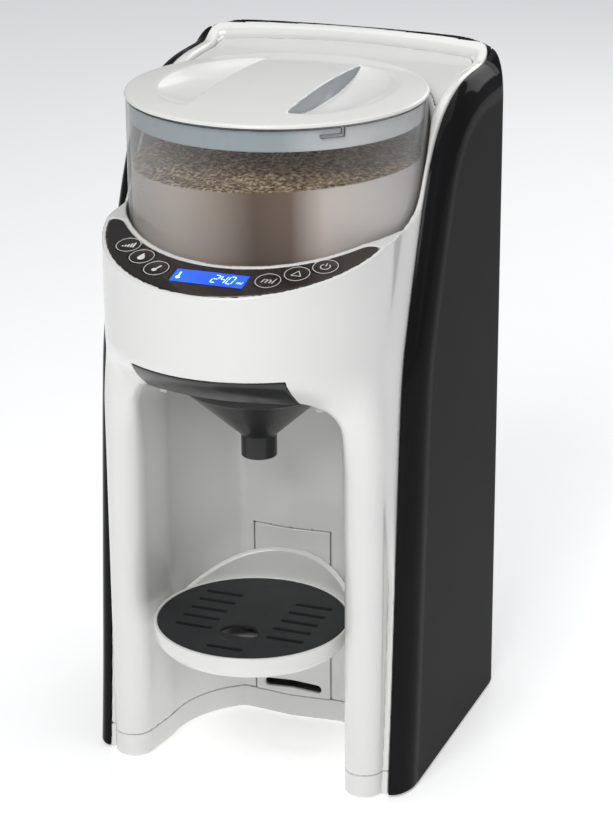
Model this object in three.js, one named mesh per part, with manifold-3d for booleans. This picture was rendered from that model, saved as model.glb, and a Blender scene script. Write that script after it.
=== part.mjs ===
// Formula dispenser: a counter-top machine that doses milk powder from a clear drum,
// mixes it with warm water in a funnel and fills a bottle that stands in the niche below.
// Millimetres, +Z up, front towards -Y. All pieces are placed about the drum's axis,
// and the group is shifted so that the origin is the middle of the footprint on the floor.
import * as THREE from 'three';
import { mergeVertices } from 'three/addons/utils/BufferGeometryUtils.js';
import Module from 'manifold-3d';

const wasm = await Module();
wasm.setup();

// ---------------------------------------------------------------- driving dimensions
const GAP = 0.3;                 // clearance between touching pieces
const WALL = 2.5;                // housing wall
const FRONT_REACH = 118.2;       // from the drum's axis to the front of the housing
const REAR_REACH = 122;          // from the drum's axis to the rear cover
const BODY_HALF = 86.5;          // half width of the white body
const COVER_HALF = 98.5;         // half width over the black side covers
const COVER_WALL = 2.4;
const COVER_ROLL = 22;           // height of the side cover's rounded border
const BASE_TOP = 15.1;           // seam between the base and the housing
const CREST = 401.5;             // highest point, at the middle of the rear rim

const BULGE = { cy: -38.2, r: 80, grow: 3.7, end: 77 };   // plan of the upper front
const NOSE = { x: 71.75, y: -54.95, r: 11.25 };           // plan of a leg's rounded nose
const STEP_Y = -57.5;                                     // step beside the leg
const CHIN_TOP = 267;            // the front starts to recede below this height
const CHIN_BOTTOM = 217;         // and is level with the legs' noses here

const NICHE = { half: 60.5, corner: 24, top: 241.3 };     // bottle niche, seen from the front
const TILT = 0.242;              // slope of the control panel, rise per mm of depth
const PANEL_Z = 336.3;           // height of the panel's plane above the drum's axis
const BAY_R = 84.2;              // well that holds the powder drum
const BAY_WALL_R = 86.3;
const BAY_FLOOR = 280;

const DRUM = { r: 83, wall: 2, z0: 284, z1: 389.7 };
const POWDER_TOP = 356;
const LID = { r: 83.7, rim: 392, crown: 5.1 };
const SCOOP = { wallX: 28, rx: 37, ry: 57, rz: 10, cz: 395.6 };
const OUTLET = { y: -50, r: 13 };                         // powder outlet in the drum's floor

const FUNNEL = { y: -32, spoutR: 10.2, spoutZ: 188.5, coneZ: 201.5, rimR: 42.6, rimZ: 231 };
const FLAP = { half: 44, z0: 241.6, z1: 260.8 };          // cover over the funnel's mouth
const TRAY = { y: -45, r: 56.4, grilleR: 54.2, top: 93.4, height: 14.4 };
const STAND_REACH = 64;          // degrees round the tray that the stand's back reaches, each way
const RIM = 7;                   // width of the deck's white rim
const WELL_R = 87.2;             // front of the tank's well, about the drum's axis
const TANK = { z0: 60.3, z1: 376, wall: 2.2, valve: [58, 88] };
const KEY = { r: 7.2, travel: 0.7, spots: [[56.8, -75.5], [44.6, -85.3], [31.9, -94.9]] };
const LCD = { half: 21, y0: -104.5, y1: -91.8 };

const FOOT_SPOTS = [[72.5, -46], [72, 98], [-72, 98], [-72.5, -46]];
const BASE_SCREWS = [[62, -20], [62, 60], [-62, 60], [-62, -20]];
const SCREW = { head: 3.4, shank: 1.7 };
const REAR_SCREWS = [[70, 24], [70, 360], [-70, 360], [-70, 24]];   // (x, z)

// ---------------------------------------------------------------- meshes and solids
const group = new THREE.Group();
group.position.y = (FRONT_REACH - REAR_REACH) / 2;

const FINISH = {
  whiteGloss: [0xf1f1ee, 0.18, 0], whiteSatin: [0xe4e4e1, 0.4, 0],
  blackSatin: [0x2b2b2b, 0.42, 0], blackMatte: [0x242628, 0.65, 0], panel: [0x1a1412, 0.08, 0],
  glass: [0xcfd4d6, 0.05, 0], seal: [0xa9b8c4, 0.3, 0], smoke: [0x4a4a48, 0.2, 0],
  blue: [0x1f5cff, 0.2, 0], powder: [0xc7b8a8, 0.95, 0], steel: [0xb8babd, 0.3, 1],
  board: [0x1f5a36, 0.5, 0], rubber: [0x161616, 0.85, 0],
  tube: [0xd9dcdc, 0.35, 0], grey: [0x8d9092, 0.5, 0],
};

function add(name, geometry, finish) {
  const [color, roughness, metalness] = FINISH[finish];
  const mesh = new THREE.Mesh(geometry, new THREE.MeshStandardMaterial({ color, roughness, metalness }));
  mesh.name = name;
  group.add(mesh);
  return mesh;
}

function solid(geometry) {
  const g = geometry.clone();
  g.deleteAttribute('normal');
  g.deleteAttribute('uv');
  const m = mergeVertices(g, 1e-4);
  const vertProperties = new Float32Array(m.attributes.position.array);
  const triVerts = new Uint32Array(m.index.array);
  return new wasm.Manifold(new wasm.Mesh({ numProp: 3, vertProperties, triVerts }));
}

function geometryOf(body) {
  const mesh = body.getMesh();
  const g = new THREE.BufferGeometry();
  g.setAttribute('position', new THREE.BufferAttribute(new Float32Array(mesh.vertProperties), 3));
  g.setIndex(new THREE.BufferAttribute(new Uint32Array(mesh.triVerts), 1));
  g.computeVertexNormals();
  return g;
}

const union = (...bodies) => bodies.reduce((a, b) => a.add(b));
const cut = (body, ...tools) => tools.reduce((a, b) => a.subtract(b), body);
const deg = (a) => (a * Math.PI) / 180;
const mirrorX = (points) => points.map(([x, y]) => [-x, y]).reverse();

function smooth(t) {
  const c = Math.min(Math.max(t, 0), 1);
  return c * c * (3 - 2 * c);
}

function shapeOf(points) {
  return new THREE.Shape(points.map(([a, b]) => new THREE.Vector2(a, b)));
}

// A prism along one axis: the outline is (x, y) for Z, (y, z) for X and (x, z) for Y.
const [ALONG_X, ALONG_Y, UP] = [[1, 0, 0], [0, 1, 0], [0, 0, 1]].map((v) => new THREE.Vector3(...v));
const AXES = {
  z: new THREE.Matrix4(),
  x: new THREE.Matrix4().makeBasis(ALONG_Y, UP, ALONG_X),
  y: new THREE.Matrix4().makeBasis(ALONG_X, UP, ALONG_Y.clone().negate()),
};

function prism(axis, points, from, to) {
  const settings = { depth: to - from, bevelEnabled: false, steps: 1 };
  const g = new THREE.ExtrudeGeometry(shapeOf(points), settings);
  g.translate(0, 0, axis === 'y' ? -to : from);
  g.applyMatrix4(AXES[axis]);
  return solid(g);
}

function box(x0, x1, y0, y1, z0, z1) {
  const g = new THREE.BoxGeometry(x1 - x0, y1 - y0, z1 - z0);
  g.translate((x0 + x1) / 2, (y0 + y1) / 2, (z0 + z1) / 2);
  return solid(g);
}

// A solid of revolution about a vertical axis; the profile is (radius, z), anticlockwise from the bottom.
function turned(profile, cx = 0, cy = 0, segments = 40) {
  const g = new THREE.LatheGeometry(profile.map(([r, z]) => new THREE.Vector2(r, z)), segments);
  g.applyMatrix4(new THREE.Matrix4().makeRotationX(Math.PI / 2));
  g.translate(cx, cy, 0);
  return solid(g);
}

const disc = (r, z0, z1, cx = 0, cy = 0, segments = 40) =>
  turned([[0, z0], [r, z0], [r, z1], [0, z1]], cx, cy, segments);

const ring = (inner, outer, z0, z1, cx = 0, cy = 0, segments = 40) =>
  turned([[inner, z0], [outer, z0], [outer, z1], [inner, z1], [inner, z0]], cx, cy, segments);

// A loft through horizontal outlines that all have the same number of points.
function loft(levels) {
  const n = levels[0].points.length;
  const position = levels.flatMap(({ z, points }) => points.flatMap(([x, y]) => [x, y, z]));
  const index = [];
  levels.slice(1).forEach((_, k) => {
    for (let i = 0; i < n; i++) {
      const [a, b] = [k * n + i, k * n + ((i + 1) % n)];
      index.push(a, b, b + n, a, b + n, a + n);
    }
  });
  const cap = (level) => {
    const outline = level.points.map(([x, y]) => new THREE.Vector2(x, y));
    return THREE.ShapeUtils.triangulateShape(outline, []);
  };
  cap(levels[0]).forEach(([a, b, c]) => index.push(a, c, b));
  const top = (levels.length - 1) * n;
  cap(levels[levels.length - 1]).forEach(([a, b, c]) => index.push(top + a, top + b, top + c));
  const g = new THREE.BufferGeometry();
  g.setAttribute('position', new THREE.BufferAttribute(new Float32Array(position), 3));
  g.setIndex(index);
  return solid(g);
}

// ---------------------------------------------------------------- outlines of the body
// How far the front has receded from the bulge (0) to the legs' noses (1) at a height.
const recede = (z) => {
  const t = Math.min(Math.max((CHIN_TOP - z) / (CHIN_TOP - CHIN_BOTTOM), 0), 1);
  return (1 - Math.cos(Math.PI * t)) / 2;
};

const legY = (x, inset) => {
  const dx = Math.max(x - NOSE.x, 0);
  return NOSE.y - Math.sqrt((NOSE.r - inset) ** 2 - dx * dx);
};

const bulgePoint = (angle, inset) => {
  const r = BULGE.r - inset + BULGE.grow * Math.sin(angle) ** 4;
  return [r * Math.sin(angle), BULGE.cy - r * Math.cos(angle)];
};

function frontHalf(z, inset) {
  const w = recede(z);
  const points = [];
  for (let i = 0; i <= 8; i++) {
    const [x, y] = bulgePoint(deg((BULGE.end * i) / 8), inset);
    points.push([x, (1 - w) * y + w * legY(x, inset)]);
  }
  points.push([NOSE.x + NOSE.r - inset, STEP_Y + inset]);
  points.push([BODY_HALF - inset, STEP_Y + inset]);
  return points;
}

const REAR = { x: 73, y: 94, a: 25.5, b: 24.2, bow: 3.8 };

const rearY = (x) => REAR_REACH - REAR.bow * (x / REAR.x) ** 2;

function rearHalf(inset, xMax) {
  const [a, b] = [REAR.a - inset, REAR.b - inset];
  const start = Math.acos(Math.min((xMax - REAR.x) / a, 1));
  const points = [];
  for (let i = 0; i <= 4; i++) {
    const t = start + ((Math.PI / 2 - start) * i) / 4;
    points.push([REAR.x + a * Math.cos(t), REAR.y + b * Math.sin(t)]);
  }
  for (const x of [50, 25]) {
    points.push([x, REAR_REACH - inset - REAR.bow * (x / REAR.x) ** 2]);
  }
  return points;
}

const REAR_SKIN = COVER_WALL + GAP;   // how far the white body stays inside the covers at the rear

function bodyOutline(z, inset) {
  const right = [...frontHalf(z, inset), ...rearHalf(REAR_SKIN + inset, BODY_HALF - inset)];
  const rear = [[0, REAR_REACH - REAR_SKIN - inset]];
  return [...right, ...rear, ...mirrorX(right).slice(0, -1)];
}

const bodyLoft = (z0, z1, inset) => {
  const inner = [CHIN_BOTTOM, 229, 241.5, 254, CHIN_TOP].filter((z) => z > z0 && z < z1);
  return loft([z0, ...inner, z1].map((z) => ({ z, points: bodyOutline(z, inset) })));
};

// A smooth curve through (y, z) points, as that many short steps.
const curve = (points, steps) => new THREE.SplineCurve(points.map(([y, z]) => new THREE.Vector2(y, z)))
  .getPoints(steps).map((p) => [p.x, p.y]);

// Side view of the body's top edge, from the drum's shoulder to the raised rear rim: (y, z).
const DECK = 390.6;
const shoulder = curve([[-23, 326.4], [-8, 335.8], [5, 355], [19, 371], [34, 381], [51, 387], [69, 389.8],
  [97, DECK]], 10);
const rearRise = [103, 108, 112, 116, 121.8].map((y) => [y, DECK + (CREST - DECK) * smooth((y - 98) / 23)]);
const topEdge = [...shoulder, ...rearRise, [140, CREST]];
const border = curve([[-58, 0], [-53.3, 50], [-49.3, 108], [-45.6, 160], [-41.6, 213], [-37, 250], [-28, 279],
  [-16.8, 308], [-6, 334]], 9);

const panelZ = (y) => PANEL_Z + TILT * y;
// Everything below the body's top surface, lowered by a depth.
const underTop = (depth, frontDepth = depth) => prism('x', [
  [-140, 0], [140, 0], ...[...topEdge].reverse().map(([y, z]) => [y, z - depth]),
  [-50, panelZ(-50) - frontDepth], [-140, panelZ(-140) - frontDepth],
], -110, 110);

// ---------------------------------------------------------------- bottle niche
const nicheBack = [[58.8, -44], [57.2, -34], [55.8, -20], [52.5, -7], [47, 2], [38.4, 12.6], [31, 17.9]];

function nicheOutline(z, inset) {
  const arc = Math.max(z - (NICHE.top - NICHE.corner), 0);
  const narrow = NICHE.corner - Math.sqrt(NICHE.corner ** 2 - Math.min(arc, NICHE.corner) ** 2);
  const half = NICHE.half - narrow + inset;
  const scale = half / NICHE.half;
  const flare = NOSE.r - inset;
  const right = [];
  for (let i = 0; i <= 3; i++) {
    const t = deg(90 - 30 * i);
    right.push([half + flare * (1 - Math.cos(t)), -NOSE.r + flare * (1 - Math.sin(t)) + NOSE.y]);
  }
  nicheBack.forEach(([x, y]) => right.push([(x + inset) * scale, y + inset * 0.8]));
  const front = [[(half + flare), -140]];
  return [...front, ...right, [0, 15 + inset], ...mirrorX([...front, ...right])];
}

const nicheLoft = (inset) => loft([-5, NICHE.top - NICHE.corner, 228, 235, 239.5].map((z) => ({
  z, points: nicheOutline(z, inset),
})).concat({ z: NICHE.top + inset, points: nicheOutline(NICHE.top - 0.2, inset) }));

const nicheSpace = nicheLoft(0);

// ---------------------------------------------------------------- base
const backOpening = box(-24, 24, 12, 26, BASE_TOP - 5, 124);

function makeBase() {
  const outer = bodyLoft(1.2, BASE_TOP - GAP, 0);
  const pan = cut(bodyLoft(3.8, 30, WALL), nicheLoft(WALL));
  const body = cut(outer, nicheSpace, pan);
  const posts = FOOT_SPOTS.map(([x, y]) => disc(6, 2, 12, x, y, 8));
  return cut(union(body, ...posts), ...FOOT_SPOTS.map(([x, y]) => disc(9.3, -1, 2.5, x, y, 16)),
    ...BASE_SCREWS.map(([x, y]) => disc(SCREW.head + 0.4, -1, 20, x, y, 10)));
}

// ---------------------------------------------------------------- housing
const bayWall = disc(BAY_WALL_R, BAY_FLOOR - 3, 420);
const bay = union(disc(BAY_R, BAY_FLOOR, 430), disc(76, 270, 290));
const flapOpening = cut(box(-FLAP.half - 0.2, FLAP.half + 0.2, -130, -60, NICHE.top - 5, FLAP.z1 + GAP),
  box(-100, 100, -70, 0, 200, 300));
const chuteHole = disc(36, NICHE.top - 2, NICHE.top + 6, 0, FUNNEL.y, 32);

// Control panel: a crescent on the tilted plane, between the drum's lip and the front edge.
function tilted(body, z = 0) {
  const g = geometryOf(body);
  g.applyMatrix4(new THREE.Matrix4().set(1, 0, 0, 0, 0, 1, 0, 0, 0, TILT, 1, PANEL_Z + z, 0, 0, 0, 1));
  return solid(g);
}

function crescent(inset, z0, z1, reach = 1) {
  const outer = [];
  for (let i = -8; i <= 8; i++) {
    outer.push(bulgePoint(deg((79 * reach * i) / 8), 2.6 + inset));
  }
  const inner = [];
  for (let i = 6; i >= -6; i--) {
    const t = deg((55 * reach * i) / 6);
    inner.push([(BAY_WALL_R + 1.2 + inset) * Math.sin(t), -(BAY_WALL_R + 1.2 + inset) * Math.cos(t)]);
  }
  return prism('z', [...outer, ...inner], z0, z1);
}

const keySpots = [...KEY.spots.map(([x, y]) => [-x, y]), ...[...KEY.spots].reverse()];
const KEY_NAMES = ['signal_key', 'water_key', 'temperature_key', 'volume_key', 'start_key', 'power_key'];

function makeHousing() {
  const outer = bodyLoft(BASE_TOP, 420, 0).intersect(underTop(0));
  const cavity = cut(bodyLoft(5, 410, WALL).intersect(underTop(8.2, 5.6)), bayWall, nicheLoft(WALL));
  const recess = cut(bodyLoft(300, 430, RIM).intersect(box(-90, 90, 20, 130, 300, 430)), underTop(3));
  const pocket = cut(wellOutline(0, 300, 430), underTop(5.7));
  const well = wellOutline(2.5, 200, 430);
  const panelBed = tilted(crescent(-GAP, -2.9, 30));
  const shafts = keySpots.map(([x, y]) => disc(2.6, 290, 330, x, y, 8));
  const lcdHole = box(-LCD.half + 3, LCD.half - 3, LCD.y0 + 2, LCD.y1 - 2, 295, 330);
  const rearGate = box(-64, 64, 100, 130, 5, 372);
  const screwHoles = REAR_SCREWS.map(([x, z]) => rodY(SCREW.shank + 0.4, 100, 140, x, z));
  return cut(outer, cavity, ...screwHoles, bay, nicheSpace, flapOpening, chuteHole, recess, pocket,
    well, panelBed, ...shafts, lcdHole, rearGate, backOpening);
}

// The tank's well wraps round the back of the powder bay; its outline shrinks by an inset.
function wellOutline(inset, z0, z1) {
  const half = BODY_HALF - RIM - inset;
  const r = WELL_R + inset;
  const right = rearHalf(REAR_SKIN + RIM + inset, half);
  const front = [];
  const reach = Math.asin(half / r);
  for (let i = -8; i <= 8; i++) {
    front.push([r * Math.sin((reach * i) / 8), r * Math.cos((reach * i) / 8)]);
  }
  const middle = [0, REAR_REACH - REAR_SKIN - RIM - inset];
  return prism('z', [...front, ...right, middle, ...mirrorX(right)], z0, z1);
}

// ---------------------------------------------------------------- side and rear covers
const coverPlan = (inset) => {
  const right = [[COVER_HALF - inset, -90], ...rearHalf(inset, COVER_HALF - inset)];
  return prism('z', [...right, [0, REAR_REACH - inset], ...mirrorX(right)], -30, 430);
};

// An anticlockwise outline moved inwards by a distance, corner by corner.
function insetOutline(points, distance) {
  const n = points.length;
  const normal = (i) => {
    const [p, q] = [points[(i + n) % n], points[(i + 1) % n]];
    const length = Math.hypot(q[0] - p[0], q[1] - p[1]);
    return [-(q[1] - p[1]) / length, (q[0] - p[0]) / length];
  };
  return points.map(([x, y], i) => {
    const [u, v] = [normal(i - 1), normal(i)];
    const scale = distance / (1 + u[0] * v[0] + u[1] * v[1]);
    return [x + (u[0] + v[0]) * scale, y + (u[1] + v[1]) * scale];
  });
}

// Side view of the black covers, swept across the body with a rounded border on both sides.
function coverSweep(inset) {
  const top = [...shoulder.filter(([, z]) => z > 350), [106, 392.6], [112, 395.6], [150, 397]];
  const outline = [[-66, -60], ...border, ...top, [150, -60]].reverse();
  const roll = [0, 0.35, 0.7, 1].map((t) => [Math.sin((t * Math.PI) / 2), 1 - Math.cos((t * Math.PI) / 2)]);
  const reach = COVER_HALF - BODY_HALF - GAP - inset;
  const right = roll.map(([across, down]) =>
    ({ x: BODY_HALF + GAP + reach * across, d: inset + COVER_ROLL * down }));
  const left = [...right].reverse().map(({ x, d }) => ({ x: -x, d }));
  const levels = [...left, ...right].map(({ x, d }) => ({ z: x, points: insetOutline(outline, d) }));
  const g = geometryOf(loft(levels));
  g.applyMatrix4(AXES.x);
  return solid(g);
}

const coverShell = cut(coverSweep(0).intersect(coverPlan(0)),
  coverSweep(COVER_WALL).intersect(coverPlan(COVER_WALL)));

function makeSideCover(side) {
  const [x0, x1] = side > 0 ? [BODY_HALF + GAP, 110] : [-110, -BODY_HALF - GAP];
  return coverShell.intersect(box(x0, x1, -100, 130, 1, 430));
}

const INLET = { x: -46, z: 42, w: 26, h: 20 };
const VENT = { half: 24.5, height: 5, rows: [250, 262, 274, 286, 298, 310] };

// A cylinder along Y, centred on (x, z).
function rodY(r, y0, y1, x, z) {
  const g = geometryOf(disc(r, y0, y1, 0, 0, 10));
  g.applyMatrix4(new THREE.Matrix4().makeRotationX(-Math.PI / 2));
  g.translate(x, 0, z);
  return solid(g);
}

function makeRearCover() {
  const slab = coverPlan(0).intersect(box(-BODY_HALF, BODY_HALF, 60, 130, 1, 430)).intersect(underTop(-0.5));
  const { x: inletX, z: inletZ, w, h } = INLET;
  const inlet = box(inletX - w / 2, inletX + w / 2, 100, 130, inletZ - h / 2, inletZ + h / 2);
  const screws = REAR_SCREWS.map(([x, z]) => rodY(SCREW.head + 0.4, rearY(x) - 2.9, 140, x, z));
  const vents = VENT.rows.map((z) =>
    box(-VENT.half, VENT.half, 100, 130, z - VENT.height / 2, z + VENT.height / 2));
  return cut(slab, bodyLoft(-10, 430, -GAP), inlet, ...vents, ...screws);
}

// ---------------------------------------------------------------- powder drum and its lid
const SLOT = { entry: 46.5, end: 37.6, z: 384.8, width: 1.8 };   // bayonet slot, degrees from the front

function sector(from, to, r0, r1, z0, z1) {
  const point = (r, a) => [r * Math.sin(deg(a)), -r * Math.cos(deg(a))];
  return prism('z', [point(r0, from), point(r1, from), point(r1, to), point(r0, to)], z0, z1);
}

function makeDrum() {
  const wall = ring(DRUM.r - DRUM.wall, DRUM.r, DRUM.z0 + 3 + GAP, DRUM.z1);
  const [low, high] = [SLOT.z - SLOT.width / 2, SLOT.z + SLOT.width / 2];
  const slots = [0, 180].map((turn) => union(
    sector(turn + SLOT.entry - 0.7, turn + SLOT.entry + 0.7, 78, 86, low, 395),
    sector(turn + SLOT.end, turn + SLOT.entry + 0.7, 78, 86, low, high)));
  return cut(wall, ...slots);
}

const outletHole = (r, z0, z1) => disc(r, z0, z1, 0, OUTLET.y, 20);

const makeDrumBase = () => cut(disc(DRUM.r, DRUM.z0, DRUM.z0 + 3), outletHole(OUTLET.r, 270, 300),
  disc(8.5, 270, 300, 0, 0, 20));

function makeWheel() {
  const pockets = [];
  for (let i = 0; i < 8; i++) {
    const a = deg(45 * i + 22.5);
    pockets.push(disc(OUTLET.r - 1, 280, 300, -OUTLET.y * Math.cos(a), -OUTLET.y * Math.sin(a), 14));
  }
  const socket = union(box(-7, 7, -2.4, 2.4, 280, 293), box(-2.4, 2.4, -7, 7, 280, 293));
  return cut(disc(66, 287.3, 297, 0, 0, 40), ...pockets, socket);
}

const crossHead = (half, width, z0, z1) =>
  union(box(-half, half, -width, width, z0, z1), box(-width, width, -half, half, z0, z1));

function makeStirrer() {
  const arms = [0, 1, 2].map((i) => {
    const a = deg(120 * i);
    const arm = [[0, -2.5], [76, -1.5], [76, 1.5], [0, 2.5]];
    const [c, s] = [Math.cos(a), Math.sin(a)];
    return prism('z', arm.map(([x, y]) => [x * c - y * s, x * s + y * c]), 302, 306);
  });
  return union(disc(9, 297.3, 308, 0, 0, 20), ...arms);
}

const domeZ = (r) => LID.rim + LID.crown * (1 - (r / LID.r) ** 2);

function makeLidCap() {
  const dome = (r, drop, z0) =>
    turned([[0, z0], [r, z0], ...[1, 0.6, 0.3, 0].map((t) => [r * t, domeZ(r * t) - drop])]);
  const scoop = (side, grow) => {
    const g = new THREE.SphereGeometry(1, 12, 6);
    g.scale(SCOOP.rx + grow, SCOOP.ry + grow, SCOOP.rz + grow);
    g.translate(side * SCOOP.wallX, 0, SCOOP.cz);
    const x = side * (SCOOP.wallX - grow);
    return solid(g).intersect(box(Math.min(x, side * 100), Math.max(x, side * 100), -90, 90, 370, 420));
  };
  const wall = 2.2;
  const bowls = [1, -1].map((side) => scoop(side, wall));
  const inside = disc(LID.r, 370, 393);
  const shell = union(dome(LID.r, 0, LID.rim - 2), ...bowls.map((bowl) => bowl.intersect(inside)));
  const hollow = cut(dome(76.2, wall, 380), ...bowls);
  const skirt = ring(76.2, 78.2, 379, LID.rim - 1);
  return cut(union(cut(shell, hollow), skirt), scoop(1, 0), scoop(-1, 0));
}

// ---------------------------------------------------------------- dosing drive under the bay
function makeCoupling() {
  return union(crossHead(6.6, 2.0, 286.5, 292.4), disc(5.5, 262.9, 287, 0, 0, 20));
}

function makeMotorBracket() {
  const plate = box(-44, 44, -16, 58, 263, 265.4);
  const spots = [[-40, -12], [40, -12], [40, 54], [-40, 54]];
  const posts = spots.map(([x, y]) => disc(3.5, 264, BAY_FLOOR, x, y, 12));
  return cut(union(plate, ...posts), disc(6.5, 250, 270, 0, 0, 20));
}

function makeMotor() {
  const gearbox = union(disc(24, 248, 262.6, 0, 0, 28), box(-16, 16, 0, 44, 248, 262.6));
  return union(gearbox, disc(15, 198, 250, 0, 44, 24));
}

const makeSeat = () => cut(disc(BAY_R - GAP, BAY_FLOOR + GAP, DRUM.z0 - GAP),
  outletHole(OUTLET.r + 1, 270, 290), disc(7, 270, 290, 0, 0, 20));

const makeChute = () => cut(union(outletHole(16.5, 250, 279), outletHole(21, 277.5, BAY_FLOOR)),
  outletHole(14.5, 240, 290));

// ---------------------------------------------------------------- funnel, its rails and cover
function makeFunnel() {
  const { spoutR, spoutZ, coneZ, rimR, rimZ, y } = FUNNEL;
  const wall = 1.6;
  const cone = turned([[spoutR - wall, spoutZ], [spoutR, spoutZ], [spoutR, coneZ], [rimR, rimZ],
    [rimR + 1.4, rimZ + 0.6], [rimR + 1.4, 236.3], [rimR - 0.2, 236.3], [rimR - 0.2, rimZ + 2],
    [rimR - 1.2, rimZ + 1.4], [spoutR - wall, coneZ + 0.9], [spoutR - wall, spoutZ]], 0, y, 28);
  const tab = cut(box(-46.5, 46.5, -50, -21, 232.6, 234.6), disc(rimR, 220, 240, 0, y, 28));
  return union(cone, tab);
}

function makeRail(side) {
  const [lip, guide, outer] = [44.4, 46.8, 48.6].map((x) => side * x);
  const section = side > 0
    ? [[lip, 228.5], [outer, 228.5], [outer, 234.6], [guide, 234.6], [guide, 232.3], [lip, 232.3]]
    : [[outer, 228.5], [lip, 228.5], [lip, 232.3], [guide, 232.3], [guide, 234.6], [outer, 234.6]];
  return prism('y', section, -58, -20);
}

function makeFunnelCover() {
  const skin = cut(bodyLoft(FLAP.z0, FLAP.z1, 0), bodyLoft(FLAP.z0 - 5, FLAP.z1 + 5, WALL));
  return skin.intersect(box(-FLAP.half, FLAP.half, -130, -70, 200, 300));
}

// ---------------------------------------------------------------- bottle stand
const panelSlot = (z) =>
  prism('y', [[-18, z - 3], [0, z - 1], [18, z - 3], [18, z + 2], [0, z + 4], [-18, z + 2]], 0, 30);

function makeBackPanel() {
  const outline = [[-23.7, 17.2], [0, 15], [23.7, 17.2], [23.7, 19.7], [0, 17.5], [-23.7, 19.7]];
  return cut(prism('z', outline, BASE_TOP, 123.7), panelSlot(21), panelSlot(52), panelSlot(84));
}

function makeStandBracket() {
  const arc = (r, reach) => {
    const points = [];
    for (let i = -8; i <= 8; i++) {
      points.push([r * Math.sin(deg((reach * i) / 8)), TRAY.y + r * Math.cos(deg((reach * i) / 8))]);
    }
    return points;
  };
  const inner = arc(TRAY.r + GAP, STAND_REACH);
  const outer = arc(TRAY.r + WALL + 0.5, STAND_REACH);
  const back = prism('z', [...inner, ...outer.reverse()].reverse(), 75, 112);
  const side = [[-60, 60], [40, 60], [40, 112], [13.5, 112], [-6, 99], [-19, 92], [-60, 84]];
  const slope = prism('x', side, -80, 80);
  const shelf = box(-26, 26, -40, 13, 75, TRAY.top - TRAY.height - GAP);
  const tongue = prism('y', [[-15, 81.8], [0, 83.8], [15, 81.8], [15, 85.4], [0, 87.4], [-15, 85.4]], 12, 22);
  return union(back.intersect(slope), shelf, tongue);
}

function makeTray() {
  const bottom = TRAY.top - TRAY.height;
  return turned([[0, bottom], [46.5, bottom], [53.4, bottom + 2.2], [TRAY.r, bottom + 11],
    [TRAY.r, TRAY.top], [TRAY.grilleR + GAP, TRAY.top], [TRAY.grilleR + GAP, TRAY.top - 2.8],
    [51.5, TRAY.top - 2.8], [50.5, bottom + 6.5], [44, bottom + 2.4], [0, bottom + 2.4]], 0, TRAY.y, 36);
}

function makeGrille() {
  const slot = (x0, x1, y) => box(x0, x1, y - 1.5, y + 1.5, 80, 100);
  const rows = [-66.5, -55, -43.5, -32, -20.5].flatMap((y) => [slot(-38.5, -16, y), slot(17, 39.5, y)]);
  const finger = cut(disc(11.5, 80, 100, 0.5, -68, 20), box(-20, 20, -90, -68, 70, 110));
  const plate = disc(TRAY.grilleR, TRAY.top - 2.5, TRAY.top - 0.2, 0, TRAY.y);
  return cut(plate, ...rows, slot(-10, 11.5, -88), finger);
}

// ---------------------------------------------------------------- water system
function makeTank() {
  const outlet = disc(6.2, 40, 80, ...TANK.valve, 16);
  return cut(wellOutline(3, TANK.z0, TANK.z1), wellOutline(3 + TANK.wall, TANK.z0 + TANK.wall, 400), outlet);
}

function makeTankLid() {
  const plate = cut(wellOutline(GAP, 300, 430).intersect(underTop(3)), underTop(5.4));
  const front = box(-90, 90, 20, 58, 300, 430);
  const plug = cut(wellOutline(6.2, TANK.z1 - 8, 400), wellOutline(8.2, 300, 430), front);
  return union(plate, plug.intersect(underTop(4)));
}

function makeTankSeat() {
  const posts = [[66, 66], [-66, 66], [26, 100], [-26, 100]].map(([x, y]) => disc(5, BASE_TOP, 57, x, y, 8));
  return cut(union(wellOutline(3, 55.5, TANK.z0 - GAP), ...posts), disc(6.2, 40, 80, ...TANK.valve, 16),
    disc(9.5, 58, 70, ...TANK.valve, 20));
}

const makeTankValve = () =>
  union(disc(5.8, 52, 64, ...TANK.valve, 16), disc(9, 62.9, 65.4, ...TANK.valve, 20));

function makePump() {
  const g = new THREE.CylinderGeometry(14, 14, 44, 24);
  g.translate(34, 52, 36);
  return union(solid(g), box(22, 46, 34, 70, 18, 30), disc(4, 48, 58, 34, 44, 12));
}

function makeHeater() {
  const outline = [[-58, 34], [-52, 28], [-28, 28], [-22, 34], [-22, 54], [-28, 60], [-52, 60], [-58, 54]];
  const block = prism('z', outline, 58, 146);
  return union(block, disc(5, 145, 154, -40, 44, 12), box(-50, -30, 40, 48, BASE_TOP, 60));
}

const NOZZLE = [24, -30];
const INLET_PATH = [[58, 88, 51.7], [58, 87, 42], [50, 82, 34], [48, 76, 34]];
const PUMP_PATH = [[34, 44, 58.4], [34, 44, 66], [28, 43, 82], [4, 42, 98], [-14, 44, 100], [-21.5, 44, 100]];
const HOT_WATER_PATH = [[-40, 44, 154.3], [-42, 42, 180], [-52, 34, 226], [-53, 8, 250], [-40, -20, 258],
  [0, -28.8, 262], [18, -30, 263], [...NOZZLE, 257], [...NOZZLE, 250.6]];

function tube(points, radius) {
  const path = new THREE.CatmullRomCurve3(points.map((p) => new THREE.Vector3(...p)));
  const circle = new THREE.Shape();
  for (let i = 0; i < 8; i++) {
    const a = (i * Math.PI) / 4;
    circle[i ? 'lineTo' : 'moveTo'](radius * Math.cos(a), radius * Math.sin(a));
  }
  return new THREE.ExtrudeGeometry(circle, { steps: 14, extrudePath: path, bevelEnabled: false });
}

// ---------------------------------------------------------------- electronics
const KEY_STEM = 7;              // how far a key's stem reaches below the panel's face

const makeKey = ([x, y]) => tilted(union(disc(KEY.r, -1.3, 0, x, y, 16), disc(2, -KEY_STEM, -1, x, y, 6)));

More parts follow.
